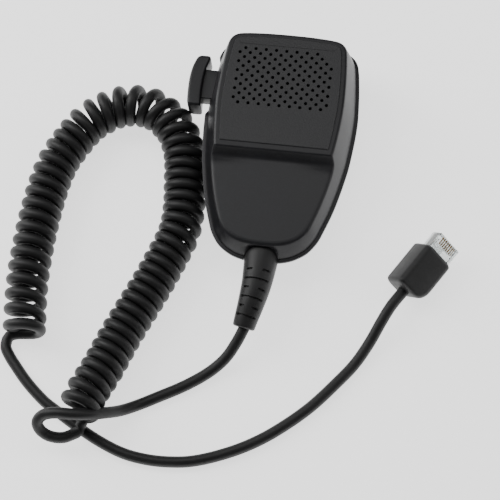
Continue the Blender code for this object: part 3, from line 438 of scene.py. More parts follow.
# Brass strip, slightly tarnished.
brass_strip = finish(
    "brass_strip", "#8f7440", "#b3935a", (0.25, 0.4), [(1.2, ALL, 1.0, 1.0, 0.003)], Metallic=1.0
)
# Injection-moulded polycarbonate: clear, with faint flow lines.
clear_plastic = finish(
    "clear_polycarbonate", "#dfe4e4", "#f2f5f4", (0.06, 0.16),
    [(1.5, (1, 1, 0.4), 1.0, 1.0, 0.01)], IOR=1.58, Transmission_Weight=0.85,
)
# Needled felt behind the sound holes: no sheen, loose fibres.
black_felt = finish(
    "needled_black_felt", "#060606", "#0e0e0e", (0.85, 0.95), [(0.3, ALL, 1.0, 1.0, 0.08)]
)
# Solder-masked glass laminate.
board_laminate = finish(
    "green_board_laminate", "#123a22", "#1c5230", (0.3, 0.45),
    [(0.5, ALL, 0.5, 1.0, 0.01), (7, ALL, 0.5, 0, 0)],
)
# Moulded thermoset of chips, sockets and the switch.
component_plastic = finish(
    "moulded_component_plastic", "#17181a", "#242528", (0.45, 0.6), [(0.4, ALL, 1.0, 1.0, 0.01)]
)
# Dyed moulded nylon, slightly glossy.
trimmer_blue = finish(
    "blue_trimmer_plastic", "#1d3f86", "#2b56a8", (0.35, 0.5), [(0.6, ALL, 1.0, 1.0, 0.01)]
)
# Drawn aluminium can with a fine brushed grain.
aluminium_can = finish(
    "drawn_aluminium", "#9a9da0", "#bcbfc2", (0.25, 0.4), [(0.3, (1, 1, 0.1), 1.0, 1.0, 0.004)],
    Metallic=1.0,
)
# Extruded PVC insulation: smooth, with a low waxy sheen.
red_wire = finish("red_wire_pvc", "#8e1515", "#b02222", (0.35, 0.5), [(0.8, ALL, 1.0, 1.0, 0.01)])
white_wire = finish("white_wire_pvc", "#c9c7c0", "#e2e0da", (0.35, 0.5), [(0.8, ALL, 1.0, 1.0, 0.01)])
blue_wire = finish("blue_wire_pvc", "#15307e", "#24459c", (0.35, 0.5), [(0.8, ALL, 1.0, 1.0, 0.01)])
yellow_wire = finish("yellow_wire_pvc", "#b08d17", "#d0aa2c", (0.35, 0.5), [(0.8, ALL, 1.0, 1.0, 0.01)])


# ---------------------------------------------------------------- camera, floor and light

CAMERA_PLACE = (0.092995, -0.365132, 0.840684)
CAMERA_BACK = np.array([0.109744, -0.362269, 0.925590])
CAMERA_ROLL = math.radians(8.297)
CAMERA_LENS = 160.56  # on a 36 mm sensor


def make_camera():
    """The view's up is +Y made square to the line of sight, then rolled."""
    back = CAMERA_BACK / np.linalg.norm(CAMERA_BACK)
    up = unit(np.array([0.0, 1.0, 0.0]) - back * back[1])
    right = np.cross(up, back)
    rolled_up = up * math.cos(CAMERA_ROLL) - right * math.sin(CAMERA_ROLL)
    rolled_right = right * math.cos(CAMERA_ROLL) + up * math.sin(CAMERA_ROLL)
    matrix = np.eye(4)
    matrix[:3] = np.column_stack([rolled_right, rolled_up, back, CAMERA_PLACE])
    data = bpy.data.cameras.new("view")
    data.sensor_width = 36
    data.lens = CAMERA_LENS
    data.clip_start = 0.01
    camera = bpy.data.objects.new("view", data)
    camera.matrix_world = Matrix(matrix.tolist())
    bpy.context.scene.collection.objects.link(camera)
    bpy.context.scene.camera = camera


def add_light(name, place, target, size, power):
    """A rectangular softbox at place, facing target."""
    data = bpy.data.lights.new(name, "AREA")
    data.shape = "RECTANGLE"
    data.size, data.size_y = size
    data.energy = power
    light = bpy.data.objects.new(name, data)
    direction = Vector(target) - Vector(place)
    turn = direction.to_track_quat("-Z", "Y").to_matrix().to_4x4()
    light.matrix_world = Matrix.Translation(place) @ turn
    bpy.context.scene.collection.objects.link(light)


def make_studio():
    """Soft light from the left, the right and above, over paper that is lit from behind."""
    world = bpy.data.worlds.new("studio")
    world.use_nodes = True
    background = world.node_tree.nodes["Background"]
    background.inputs["Color"].default_value = colour("#ffffff")
    background.inputs["Strength"].default_value = 0.16
    bpy.context.scene.world = world
    add_light("left_softbox", (-0.75, 0.25, 0.55), (-0.02, -0.03, 0), (0.5, 0.9), 6.0)
    add_light("right_softbox", (0.8, 0.1, 0.45), (0.0, -0.03, 0), (0.4, 0.9), 1.2)
    add_light("top_softbox", (0.0, 0.35, 1.1), (0, -0.03, 0), (0.9, 0.5), 2.4)
    paper = finish(
        "lit_white_backdrop_paper", "#f4f4f4", "#fafafa", (0.85, 0.95), [(3.0, ALL, 1.0, 1.0, 0.0)],
        Emission_Color=colour("#ffffff"), Emission_Strength=1.5,
    )
    size = 3000
    corners = [(-size, -size, 0), (size, -size, 0), (size, size, 0), (-size, size, 0)]
    floor = make_mesh("floor", corners, [(0, 1, 2, 3)], (), [paper])


# ---------------------------------------------------------------- cord


def coil_line():
    """The helix about the coil's axis: axis + r (cos p * up + sin p * side), where p falls by a turn
    for each pitch. The pitch grows on the outside of the bend, so the turns nearly touch on its
    inside, and the last half turn stays where it is. Returns the points, the axis directions and
    the number of turns."""
    count = 2400
    axis = curve_through(COIL_AXIS, count)
    along = arc_length(axis)
    forward = unit(np.gradient(axis, axis=0))
    bend = np.linalg.norm(np.gradient(forward, axis=0), axis=1) / np.gradient(along)
    bend = np.convolve(np.pad(bend, 60, mode="edge"), np.ones(121) / 121, mode="valid")
    places = [0, 190, 225, 250, along[-1] - 5, along[-1]]
    base = np.interp(along, places, [COIL_PITCH, COIL_PITCH, 5.1, 5.9, 6.6, 9.0])
    pitch = base / (1 - 0.8 * COIL_RADIUS * bend)
    turns = np.concatenate([[0], np.cumsum(np.diff(along) / pitch[1:])])
    whole = round(turns[-1] + 0.5 + 1 / 6) - 1 / 6
    phases = np.linspace(0, whole, round(whole * 30) + 1)
    at = np.interp(phases, turns * (whole - 0.5) / turns[-1], along)
    middle = np.stack([np.interp(at, along, axis[:, k]) for k in range(3)], axis=1)
    ahead = unit(np.stack([np.interp(at, along, forward[:, k]) for k in range(3)], axis=1))
    side = unit(np.cross(ahead, UP))
    up = np.cross(side, ahead)
    angle = (COIL_START_ANGLE - 2 * np.pi * phases)[:, None]
    sway = COIL_SWAY * np.sin(at * 2 * np.pi / 61 + 1)[:, None] * side
    return middle + sway + COIL_RADIUS * (np.cos(angle) * up + np.sin(angle) * side), ahead, whole


def bridge(start, start_way, end, end_way, count):
    """The cubic from start to end with the given directions, without its two ends."""
    t = np.linspace(0, 1, count + 2)[1:-1, None]
    chord = np.linalg.norm(end - start)
    h00, h10 = 2 * t**3 - 3 * t**2 + 1, t**3 - 2 * t**2 + t
    h01, h11 = -2 * t**3 + 3 * t**2, t**3 - t**2
    return h00 * start + h10 * chord * start_way + h01 * end + h11 * chord * end_way


def make_cord():
    """The whole cord as one tube: the tail at the microphone, the coil, the tail at the plug. Returns
    the object, its line in metres and its length in metres."""
    coil, ahead, turns = coil_line()
    tail = curve_through(MIC_TAIL, 110)
    far = curve_through(PLUG_TAIL, 190)
    way_in, way_out = unit(coil[1] - coil[0]), unit(coil[-1] - coil[-2])
    first = bridge(tail[-1], unit(tail[-1] - tail[-2]), coil[0], way_in, 4)
    second = bridge(coil[-1], way_out, far[0], unit(far[1] - far[0]), 6)
    line = np.concatenate([tail, first, coil, second, far])
    reference = np.tile(UP, (len(line), 1))
    begin, end = len(tail) + len(first), len(tail) + len(first) + len(coil)
    reference[begin:end] = ahead
    share = smooth(np.linspace(0, 1, 24))[:, None]
    reference[begin - 24 : begin] = (1 - share) * UP + share * ahead[0]
    share = smooth(np.linspace(0, 1, 12))[:, None]
    reference[end - 6 : end + 6] = (1 - share) * ahead[-1] + share * UP
    cord = swept("curly_cord", line, CORD_DIAMETER / 2, [cord_polyurethane], reference, sides=16)
    length = arc_length(line)[-1]
    print(f"cord: {turns:.1f} turns, {length * MM:.3f} m")
    return cord, line * MM, length * MM


# ---------------------------------------------------------------- housing

SIDE_TOP_Y, SIDE_LOW_Y = 38.0, -28.0
# (y, height) down the middle of the face: the panel's level, the step, the thumb face.
STEP_PROFILE = [
    (60, 28.7), (-3.1, 28.7), (-3.45, 28.6), (-3.75, 28.3), (-4.05, 27.8), (-5.2, 26.3), (-5.75, 25.65),
    (-6.3, 25.3), (-7.0, 25.15), (-9.0, 25.03), (-25, 24.2), (-60, 22.35),
]
THUMB_CROWN = 0.45  # how much lower its edges are than its middle


def half_plan(outline):
    """One half of a plan outline, with its side rows at the shared values of y."""
    dense = curve_through(outline, 3000)
    dense[:, 0] = np.maximum(dense[:, 0], 0)
    upper = dense[(dense[:, 1] > SIDE_TOP_Y)]
    lower = dense[(dense[:, 1] < SIDE_LOW_Y)]
    side = dense[(dense[:, 1] <= SIDE_TOP_Y + 1) & (dense[:, 1] >= SIDE_LOW_Y - 1)][::-1]
    x = np.interp(SIDE_ROWS[::-1], side[:, 1], side[:, 0])[::-1]
    top_cap = respaced(np.concatenate([upper, [[x[0], SIDE_TOP_Y]]]), np.linspace(0, 1, 29))[:-1]
    low_cap = respaced(np.concatenate([[[x[-1], SIDE_LOW_Y]], lower]), np.linspace(0, 1, 25))[1:]
    half = np.concatenate([top_cap, np.stack([x, SIDE_ROWS], axis=1), low_cap])
    half[[0, -1], 0] = 0
    return half


# The rows stand close together at the panel's lower edge and across the step.
SIDE_ROWS = np.concatenate(
    [
        np.linspace(SIDE_TOP_Y, 2, 22),
        [0.8, 0.0, -0.6, -1.0, -1.15, -1.3, -1.45, -1.8, -2.4],
        [-2.9, -3.1, -3.3, -3.45, -3.6, -3.75, -3.9, -4.05],
        [-4.4, -4.8, -5.2, -5.5, -5.75, -6.0, -6.3, -6.65, -7.0, -7.6, -8.2],
        np.linspace(-9.2, SIDE_LOW_Y, 13),
    ]
)
FLANGE_HALF = half_plan(FLANGE_OUTLINE)
CROWN_HALF = half_plan(CROWN_OUTLINE)
PANEL_LOW_Y = STEP_TOP_Y + LEDGE_WIDTH + CHAMFER / 2 + 0.35


def inwards(half):
    """The inward normal of a half outline, turned to lie along x where rows cross the step."""
    along = np.gradient(half, axis=0)
    along[[0, -1], 1] = 0
    normal = unit(np.stack([along[:, 1], -along[:, 0]], axis=1))
    y = half[:, 1]
    level = (smooth((y + 24) / 15) * smooth((38 - y) / 8))[:, None]
    made = unit(normal * (1 - level) + np.array([-1.0, 0.0]) * level)
    made[[0, -1]] = [[0, -1], [0, 1]]
    return made


def outer_height(x, y):
    """Height of the front outside the raised panel: the ledge, the step and the crowned thumb face."""
    profile = np.array(STEP_PROFILE[::-1])
    z = np.interp(y, profile[:, 0], profile[:, 1])
    below = smooth((-6.0 - y) / 4)
    return z - THUMB_CROWN * below * (x / 20) ** 2


def front_half(inset, share):
    """Plan of the front shell at a share of its height, 0 at the parting line and 1 at the crown."""
    low = FLANGE_HALF + inwards(FLANGE_HALF) * (FLANGE_PROUD + inset)[:, None]
    high = CROWN_HALF + inwards(CROWN_HALF) * inset[:, None]
    return low + (high - low) * (np.maximum(share, 0) ** 1.15)[:, None]


def top_share(inset, drop):
    """The share of the height at which each row of the wall meets the top, lowered by drop."""
    share = np.ones(len(CROWN_HALF))
    for _ in range(30):
        plan = front_half(inset, share)
        share = (outer_height(plan[:, 0], plan[:, 1]) - drop - PARTING_Z) / (CROWN_Z - PARTING_Z)
    return share


def relief_dent(rings):
    """A shallow scoop in the lower wall over the strain relief: the wall moves in by a bell curve."""
    x, y, z = rings[..., 0], rings[..., 1], rings[..., 2]
    depth = 1.7 * np.exp(-((x / 5.2) ** 4)) * smooth((22.6 - z) / 3.0) * smooth((-34 - y) / 4)
    rings[..., 1] += depth
    return rings


def both_sides(half):
    """A closed ring: the right half from the top to the bottom, then its mirror image back up."""
    return np.concatenate([half, (half * [-1, 1, 1])[-2:0:-1]])


def shell_surface(inset, drop, base_z, panel):
    """Points and faces of the front's outer form, or of its hollow, moved in by inset and down by
    drop. Rings climb the wall, round its edge, cross the ledge, and rows fill the face inside them."""
    n = len(CROWN_HALF)
    flat = np.full(n, inset)
    top = top_share(flat, drop + (RIM_RADIUS if panel else 0))
    base = (base_z - PARTING_Z) / (CROWN_Z - PARTING_Z)
    halves = []
    for k in np.linspace(0, 1, 12):
        share = base + (top - base) * k
        plan = front_half(flat, share)
        halves.append(np.column_stack([plan, PARTING_Z + share * (CROWN_Z - PARTING_Z)]))
    steps = np.linspace(0, np.pi / 2, 7)[1:] if panel else []
    for angle in steps:
        edge = flat + RIM_RADIUS * (1 - math.cos(angle))
        share = top + RIM_RADIUS * math.sin(angle) / (CROWN_Z - PARTING_Z)
        plan = front_half(edge, share)
        halves.append(np.column_stack([plan, PARTING_Z + share * (CROWN_Z - PARTING_Z)]))
    rim = halves[-1]
    way = inwards(CROWN_HALF)
    rise = [LEDGE_WIDTH - back for back in (0.95, 0.8, 0.67, 0.55)]
    for distance in [0.4, 0.8, *rise, 2.6, 4.2] if panel else [0.6, 2.0, 4.0]:
        plan = rim[:, :2] + way * distance
        z = face_height(plan[:, 0], plan[:, 1], distance, panel) - drop
        halves.append(np.column_stack([plan, z]))
    rings = np.array([both_sides(h) for h in halves])
    if panel:
        rings = relief_dent(rings)
    last = rings[-1]
    columns = 18
    across = np.linspace(0, 1, columns)[1:-1]
    right = last[1 : n - 1]
    left = last[::-1][: n - 2]
    rows = right[:, None] + (left - right)[:, None] * across[None, :, None]
    rows[..., 2] = face_height(rows[..., 0], rows[..., 1], 9.0, panel) - drop
    return rings, rows


def face_height(x, y, distance, panel):
    """The ledge's height, raised to the panel's where it is further in than the ledge."""
    z = outer_height(x, y)
    if not panel:
        return z
    from_side = smooth((distance - (LEDGE_WIDTH - 0.95)) / CHAMFER)
    from_step = smooth((y - (PANEL_LOW_Y - CHAMFER)) / CHAMFER)
    return z + LEDGE_DROP * (from_side * from_step)


def surface_faces(rings, rows, start):
    """Vertex numbers of the ring quads, the row quads and the fans at both ends of the rows."""
    levels, count = rings.shape[:2]
    n = count // 2 + 1
    ring_index = start + np.arange(levels * count).reshape(levels, count)
    inner = start + levels * count + np.arange(rows.shape[0] * rows.shape[1]).reshape(rows.shape[:2])
    last = ring_index[-1]
    right, left = last[1 : n - 1], last[::-1][: n - 2]
    ladder = np.concatenate([right[:, None], inner, left[:, None]], axis=1)
    quads = [grid_quads(ring_index, closed_columns=True), grid_quads(ladder)]
    fans = [[last[0], ladder[0, j], ladder[0, j + 1]] for j in range(ladder.shape[1] - 1)]
    fans += [[last[n - 1], ladder[-1, j + 1], ladder[-1, j]] for j in range(ladder.shape[1] - 1)]
    return quads, fans, ring_index[0]


def make_front_shell():
    """The front shell: an outer form and a hollow joined at the parting line, then cut through by the
    sound holes, the bar's window and the strain relief's hole."""
    outer_rings, outer_rows = shell_surface(0.0, 0.0, PARTING_Z + GAP, True)
    inner_rings, inner_rows = shell_surface(WALL, WALL, PARTING_Z + GAP, False)
    outer_points = np.concatenate([outer_rings.reshape(-1, 3), outer_rows.reshape(-1, 3)])
    inner_points = np.concatenate([inner_rings.reshape(-1, 3), inner_rows.reshape(-1, 3)])
    quads_out, fans_out, foot_out = surface_faces(outer_rings, outer_rows, 0)
    quads_in, fans_in, foot_in = surface_faces(inner_rings, inner_rows, len(outer_points))
    foot = grid_quads(np.stack([foot_out, foot_in]), closed_columns=True)
    points = np.concatenate([outer_points, inner_points])
    quads = np.concatenate([*quads_out, *quads_in, foot])
    fans = fans_out + fans_in
    made = make_mesh("front_shell", points, quads, fans, [satin_abs, textured_abs], 32)
    mesh = made.data
    middle = np.empty(len(mesh.polygons) * 3)
    mesh.polygons.foreach_get("center", middle)
    middle = middle.reshape(-1, 3) / MM
    on_panel = (middle[:, 2] > CROWN_Z - 0.02) & (middle[:, 1] > PANEL_LOW_Y - 0.3)
    mesh.polygons.foreach_set("material_index", on_panel.astype(np.int32))
    cut(made, [sound_hole_cutter(), window_cutter(), relief_cutter()])
    shade(made, 32)
    return made


def sound_hole_cutter():
    """Prisms with a countersunk mouth on a staggered lattice; the first two rows lack their last hole."""
    places = [
        ((i - (HOLES_PER_ROW - 1 + row % 2) / 2) * HOLE_PITCH, GRILLE_TOP_Y - row * ROW_PITCH)
        for row in range(GRILLE_ROWS)
        for i in range(HOLES_PER_ROW + row % 2 - (row < 2))
    ]
    mouth = HOLE_RADIUS + HOLE_SINK
    profile = [(HOLE_RADIUS, -3.2), (HOLE_RADIUS, -0.12), (mouth, 0.04), (mouth, 1.0)]
    one = rings_about_z(profile, 16, CROWN_Z)
    shift = np.column_stack([np.array(places), np.zeros(len(places))])
    points = one[None] + shift[:, None, None]
    size = one.shape[0] * one.shape[1]
    index = np.arange(size).reshape(one.shape[:2])
    first = size * np.arange(len(places))[:, None, None]
    quads = (grid_quads(index, closed_columns=True)[None] + first).reshape(-1, 4)
    caps = [(index[end] + size * i).tolist() for i in range(len(places)) for end in (0, -1)]
    return make_mesh("sound_hole_cutter", points, quads, caps, [satin_abs])


def window_cutter():
    """The opening that the bar's neck slides in, a gap larger than the neck all round."""
    y, z = ((span[0] - GAP, span[1] + GAP) for span in (NECK_Y, NECK_Z))
    return block("window_cutter", (-37, -25.2), y, z)


def relief_cutter():
    """The hole that the strain relief stands in, a gap wider than the relief."""
    radius = RELIEF_START_RADIUS + GAP
    return turned("relief_cutter", [(radius, 0), (radius, 12)], (), RELIEF_SEAT, (0, -1, 0))


def rear_ring(depth_share, inset, z):
    """The rear shell's plan: upright under the flange, then rounding in like a quarter ellipse."""
    curve_in = (BACK_INSET - FLANGE_PROUD) * (1 - math.sqrt(max(0, 1 - (0.985 * depth_share) ** 2)))
    half = FLANGE_HALF + inwards(FLANGE_HALF) * (FLANGE_PROUD + curve_in + inset)
    return both_sides(np.column_stack([half, np.full(len(half), z)]))


def flange_ring(inset, z):
    """The flange's plan; it dies away on the left, where the bar stands."""
    half = np.column_stack([FLANGE_HALF, np.zeros(len(FLANGE_HALF))])
    ring = both_sides(half)
    along_way = inwards(FLANGE_HALF)
    way = both_sides(np.column_stack([along_way, np.zeros(len(along_way))]))
    away = smooth((ring[:, 1] - 16.0) / 1.2) * smooth((41.2 - ring[:, 1]) / 1.2) * (ring[:, 0] < 0)
    distance = inset + (FLANGE_PROUD - inset) * away
    ring = ring + way * distance[:, None]
    ring[:, 2] = z
    return ring


def make_rear_shell():
    """The rear shell: a bowl of plan rings with its flange, cut by the window, the relief's hole, the
    screws' sinks, the groove round the hang-up button and the gaps between the grip ribs."""
    under = PARTING_Z - FLANGE_HEIGHT
    rings = []
    floor = BACK_Z + WALL
    for share in np.linspace(0, 1, 8)[::-1]:
        rings.append(rear_ring(share, WALL, floor + (under - floor) * (1 - share)))
    rings.append(rear_ring(0, WALL, PARTING_Z))
    edge = [(0.35, 0), (0.1, 0.1), (0, 0.35)]  # inset and depth of the flange's rounded edge
    rings += [flange_ring(inset, PARTING_Z - depth) for inset, depth in edge]
    rings += [flange_ring(inset, under + depth) for inset, depth in edge[::-1]]
    for angle in np.linspace(0, np.pi / 2, 16):
        rings.append(rear_ring(math.sin(angle), 0, under - math.sin(angle) * (under - BACK_Z)))
    made = lofted("rear_shell", rings, [satin_abs, textured_abs], True, 30)
    cutters = [window_cutter(), relief_cutter()]
    for x, y in HOUSING_SCREWS:
        sink = [(2.9, -1), (2.9, 2.6), (2.6, 2.95), (1.0, 3.0)]
        cutters.append(turned("sink", sink, (), (x, y, BACK_Z)))
    groove = rings_about_z([(9.6, -1), (9.6, 0.35), (8.9, 0.5), (8.9, -1)], 64, BACK_Z)
    index = np.arange(groove.shape[0] * groove.shape[1]).reshape(groove.shape[:2])
    cutters.append(make_mesh("groove", groove, grid_quads(index, closed_rows=True, closed_columns=True)))
    rib_gap_z = (BACK_Z - 1, BACK_Z + 0.6)
    for y in (-22.0, -19.0, -16.0, 18.0, 21.0, 24.0):
        cutters.append(block("rib_gap", (-9, 9), (y - 0.55, y + 0.55), rib_gap_z, (), 0.25, 2))
    cut(made, cutters)
    shade(made, 30)
    mesh = made.data
    normal_z = np.array([p.normal.z for p in mesh.polygons])
    height = np.array([p.center.z for p in mesh.polygons])
    on_back = (normal_z < -0.9) & (height < (BACK_Z + 0.2) * MM)
    mesh.polygons.foreach_set("material_index", on_back.astype(np.int32))
    return made


def make_housing_screw(name, x, y):
    """A pan head with a cross recess, its rim rounded, on a plain shank."""
    dome = [(0.5, -1.8), (1.4, -1.72), (2.05, -1.45), (2.45, -1.0), (2.6, -0.45), (2.6, 0)]
    profile = [*dome, (1.3, 0), (1.3, 10.2), (0.4, 11.5)]
    made = turned(name, profile, [zinc_plate], (x, y, SCREW_UNDER_HEAD_Z), sides=40, angle=30)
    z = (SCREW_UNDER_HEAD_Z - 3, SCREW_UNDER_HEAD_Z - 0.85)
    bars = [
        block("recess_a", (x - 1.35, x + 1.35), (y - 0.3, y + 0.3), z),
        block("recess_b", (x - 0.3, x + 0.3), (y - 1.35, y + 1.35), z),
    ]
    cut(made, bars)
    shade(made, 30)
    return made


# ---------------------------------------------------------------- push-to-talk bar

# The bar's outer and inner faces in plan, as (y, x).
BAR_OUTER = [
    (17.2, -38.9), (19.1, -39.4), (23.8, -39.8), (29.3, -39.9), (34.1, -39.4), (38.2, -38.2), (39.9, -37.0),
]
BAR_INNER = [
    (17.2, -33.2), (22.0, -33.6), (27.0, -33.7), (31.6, -33.5), (35.3, -32.9), (38.0, -32.1), (39.9, -31.9),
]
BAR_Z = (9.9, 20.3)
BAR_ROUNDING = 0.9
BAR_CROWN = 0.55  # how much lower the outer face's edges are than its middle
NECK_Y, NECK_Z = (21.3, 34.4), (12.2, 18.2)
STOP_X = WALL - 26.4
STOP_THICKNESS = 1.4
SPRING_LENGTH, SPRING_TURNS = 8.2, 6
SPRING_Y, SPRING_Z = 20.2, 16.4
SPRING_RADIUS, SPRING_WIRE_RADIUS = 1.7, 0.25


def rounded_rectangle(across, up, radius, steps=6):
    """Corners as quarter circles, from the spans of the two axes; the point count never changes."""
    turn = np.linspace(0, np.pi / 2, steps)
    middle = np.array([(across[0] + across[1]) / 2, (up[0] + up[1]) / 2])
    reach = np.array([(across[1] - across[0]) / 2, (up[1] - up[0]) / 2])
    radius = min(radius, *(reach * 0.95))
    corners = []
    for k, (sx, sy) in enumerate([(1, 1), (-1, 1), (-1, -1), (1, -1)]):
        angle = turn + k * np.pi / 2
        arc = np.stack([np.cos(angle), np.sin(angle)], axis=1) * radius
        corners.append(middle + (reach - radius) * [sx, sy] + arc)
    return np.concatenate(corners)


def end_rounding(position, low, high, radius):
    """How far a section shrinks near both ends, like the side of a quarter circle."""
    near = np.clip(np.minimum(position - low, high - position) / radius, 0, 1)
    return radius * (1 - np.sqrt(1 - (1 - near) ** 2))


def make_bar():
    """A bowed bar with a crowned outer face, on a neck through the window and a plate inside it."""
    low, high = BAR_OUTER[0][0], BAR_OUTER[-1][0]
    ends = BAR_ROUNDING * (1 - np.cos(np.linspace(0, np.pi / 2, 6)))
    stations = np.concatenate([low + ends, np.linspace(low + 1.4, high - 1.4, 22), (high - ends)[::-1]])
    outer, inner = curve_through(BAR_OUTER, 200), curve_through(BAR_INNER, 200)
    rings = []
    for y in stations:
        shrink = float(end_rounding(y, low, high, BAR_ROUNDING)) * 0.9
        left = np.interp(y, outer[:, 0], outer[:, 1]) + shrink
        right = np.interp(y, inner[:, 0], inner[:, 1]) - shrink
        ring = rounded_rectangle((left, right), (BAR_Z[0] + shrink, BAR_Z[1] - shrink), 1.0)
        height = (ring[:, 1] - sum(BAR_Z) / 2) / (BAR_Z[1] - BAR_Z[0]) * 2
        toward_outer = (right - ring[:, 0]) / (right - left)
        x = ring[:, 0] + BAR_CROWN * height**2 * toward_outer
        rings.append(np.column_stack([x, np.full(len(ring), y), ring[:, 1]]))
    bar = lofted("talk_bar", rings, [satin_abs], True, 35)
    neck = block("talk_neck", (-34.5, STOP_X + 0.5), NECK_Y, NECK_Z, (satin_abs,), 0.35)
    plate_y = (NECK_Y[0] - 3.6, NECK_Y[1] + 1.2)
    plate = block("talk_plate", (STOP_X, STOP_X + STOP_THICKNESS), plate_y, (11.9, 18.8), (satin_abs,), 0.2)
    cut(bar, [neck, plate], "UNION")
    shade(bar, 35)
    return bar


def make_spring():
    """The bar's return spring: a helix in thin wire whose turns draw together towards its ends."""
    start = STOP_X + STOP_THICKNESS + GAP + SPRING_WIRE_RADIUS
    t = np.linspace(0, 1, 260)
    angle = 2 * np.pi * SPRING_TURNS * t
    share = t - 0.5 * np.sin(2 * np.pi * t) / (2 * np.pi) * 0.6
    x = start + (SPRING_LENGTH - 2 * SPRING_WIRE_RADIUS) * share
    y, z = SPRING_Y + SPRING_RADIUS * np.cos(angle), SPRING_Z + SPRING_RADIUS * np.sin(angle)
    line = np.column_stack([x, y, z])
    reference = np.tile([1.0, 0, 0], (len(line), 1))
    return swept("return_spring", line, SPRING_WIRE_RADIUS, [nickel_plate], reference, 10, uv=False)


# ---------------------------------------------------------------- strain relief

# (y, radius) down the relief, from its collar inside the housing.
RELIEF_RADII = [
    (-38.8, 7.35), (-40.0, 7.35), (-40.05, RELIEF_START_RADIUS), (-46, RELIEF_START_RADIUS),
    (-53, 6.25), (-60, 5.7), (-66, 5.15), (-73.6, 4.45),
]
FRONT_GROOVES = [-55.2, -62.4, -69.2]
PAIRED_GROOVES = [-51.5, -58.8, -65.8]
GROOVE_DEPTH = 0.95
GROOVE_WIDTH = 0.9


def make_relief():
    """The moulded strain relief: a tapering tube whose radius falls in short slots. Long slots cross the
    front and back, and pairs of short ones stand between them."""
    route = curve_through([(0, -38.8, 14.2), *RELIEF_ROUTE], 400)
    along = arc_length(route)
    breaks, radii = np.array(RELIEF_RADII).T

    def along_at(y):
        return np.interp(-y, -route[:, 1], along)

    dense = [along[0], along_at(-40.0), along_at(-40.05), along[-1]]
    edge = np.array([-0.62, -0.5, -0.46, -0.4, 0, 0.4, 0.46, 0.5, 0.62]) * GROOVE_WIDTH
    for y in FRONT_GROOVES + PAIRED_GROOVES:
        dense.extend(along_at(y) + edge)
    dense.extend(np.linspace(along[0], along[-1], 90))
    dense.extend(along[-1] - 0.9 * (1 - np.sin(np.linspace(0, np.pi / 2, 7))))
    at = np.unique(np.round(dense, 4))
    line = np.stack([np.interp(at, along, route[:, k]) for k in range(3)], axis=1)
    radius = np.interp(-line[:, 1], -breaks, radii)
    radius = radius - end_rounding(at, -50, along[-1], 0.9)
    sides = 96
    turn = np.degrees(np.linspace(0, 2 * np.pi, sides, endpoint=False))
    from_front = np.minimum(turn, 360 - turn)
    from_front = np.minimum(from_front, 180 - from_front)
    long_slot = smooth((54 - from_front) / 4)
    short_slot = smooth((15 - np.abs(from_front - 35)) / 4)
    lift = np.zeros((len(at), sides))
    for grooves, mask in ((FRONT_GROOVES, long_slot), (PAIRED_GROOVES, short_slot)):
        for y in grooves:
            offset = np.abs(at - along_at(y)) / GROOVE_WIDTH
            lift -= GROOVE_DEPTH * smooth((0.5 - offset) / 0.08)[:, None] * mask[None]
    reference = np.tile(UP, (len(line), 1))
    made = swept("strain_relief", line, radius, [boot_rubber], reference, sides, 35, False, lift)
    bore = curve_through([(0, -38.0, 14.2), *RELIEF_ROUTE, RELIEF_END], 120)
    bore_up = np.tile(UP, (len(bore), 1))
    hole = swept("relief_bore", bore, CORD_DIAMETER / 2 + 0.12, (), bore_up, 40, 60, False)
    cut(made, [hole])
    shade(made, 35)
    return made


# ---------------------------------------------------------------- plug

PLUG_PLACE = (
    Matrix.Translation(Vector(PLUG_REAR) * MM)
    @ Matrix.Rotation(PLUG_HEADING, 4, "Z")
    @ Matrix.Rotation(PLUG_ROLL, 4, "X")
)
COVER_SIZE = (20.0, 14.5, 12.5)
COVER_ROUNDING = 1.6
PLUG_WIDTH, PLUG_THICKNESS, PLUG_LENGTH = 11.68, 6.5, 21.5
PLUG_REAR_X, PLUG_BOTTOM_Z = 5.4, -1.4
PLUG_NOSE, PLUG_TOP_Z = PLUG_REAR_X + PLUG_LENGTH, PLUG_BOTTOM_Z + PLUG_THICKNESS


def make_plug_cover():
    """The rubber cover: rounded sections along its length, one rear corner cut back towards the cord,
    a thumb hump over the latch and the pocket that holds the plug."""
    length, width, thickness = COVER_SIZE
    ends = COVER_ROUNDING * (1 - np.cos(np.linspace(0, np.pi / 2, 7)))
    stations = np.concatenate([ends, np.linspace(2.0, length - 2.0, 26), (length - ends)[::-1]])
    rings = []
    for x in stations:
        shrink = float(end_rounding(x, 0, length, COVER_ROUNDING))
        back = 5.2 * (1 - math.sqrt(1 - (1 - min(x / 6.5, 1)) ** 2))
        across = (-width / 2 + shrink + back, width / 2 - shrink)
        ring = rounded_rectangle(across, (-thickness / 2 + shrink, thickness / 2 - shrink), 2.2)
        rings.append(np.column_stack([np.full(len(ring), x), ring]))
    cover = lofted("plug_cover", rings, [boot_rubber], True, 35, PLUG_PLACE)
    hump = block("cover_hump", (7.5, 15.5), (-3.5, 3.5), (-8.45, -4.0), (boot_rubber,), 1.5, 5, PLUG_PLACE)
    cut(cover, [hump], "UNION")
    latch_low = PLUG_BOTTOM_Z - GAP - 1.0 - 2.1 - GAP
    half_width = PLUG_WIDTH / 2 + GAP
    pocket_z = (latch_low, PLUG_TOP_Z + GAP)
    pocket = block(
        "pocket", (PLUG_REAR_X - GAP, 22), (-half_width, half_width), pocket_z, (), 0.3, 2, PLUG_PLACE
    )
    pit_profile = rounded([(1.1, -2), (1.1, 0.9), (0.7, 1.2), (0.1, 1.2)], 0.3)
    pit = turned("pit", pit_profile, (), (2.6, -0.6, -6.25), place=PLUG_PLACE)
    seam = block("seam", (1.2, 7.0), (3.4, 3.8), (-6.4, -6.05), (), 0.1, 2, PLUG_PLACE)
    cut(cover, [pocket, pit, seam])
    shade(cover, 35)
    return cover


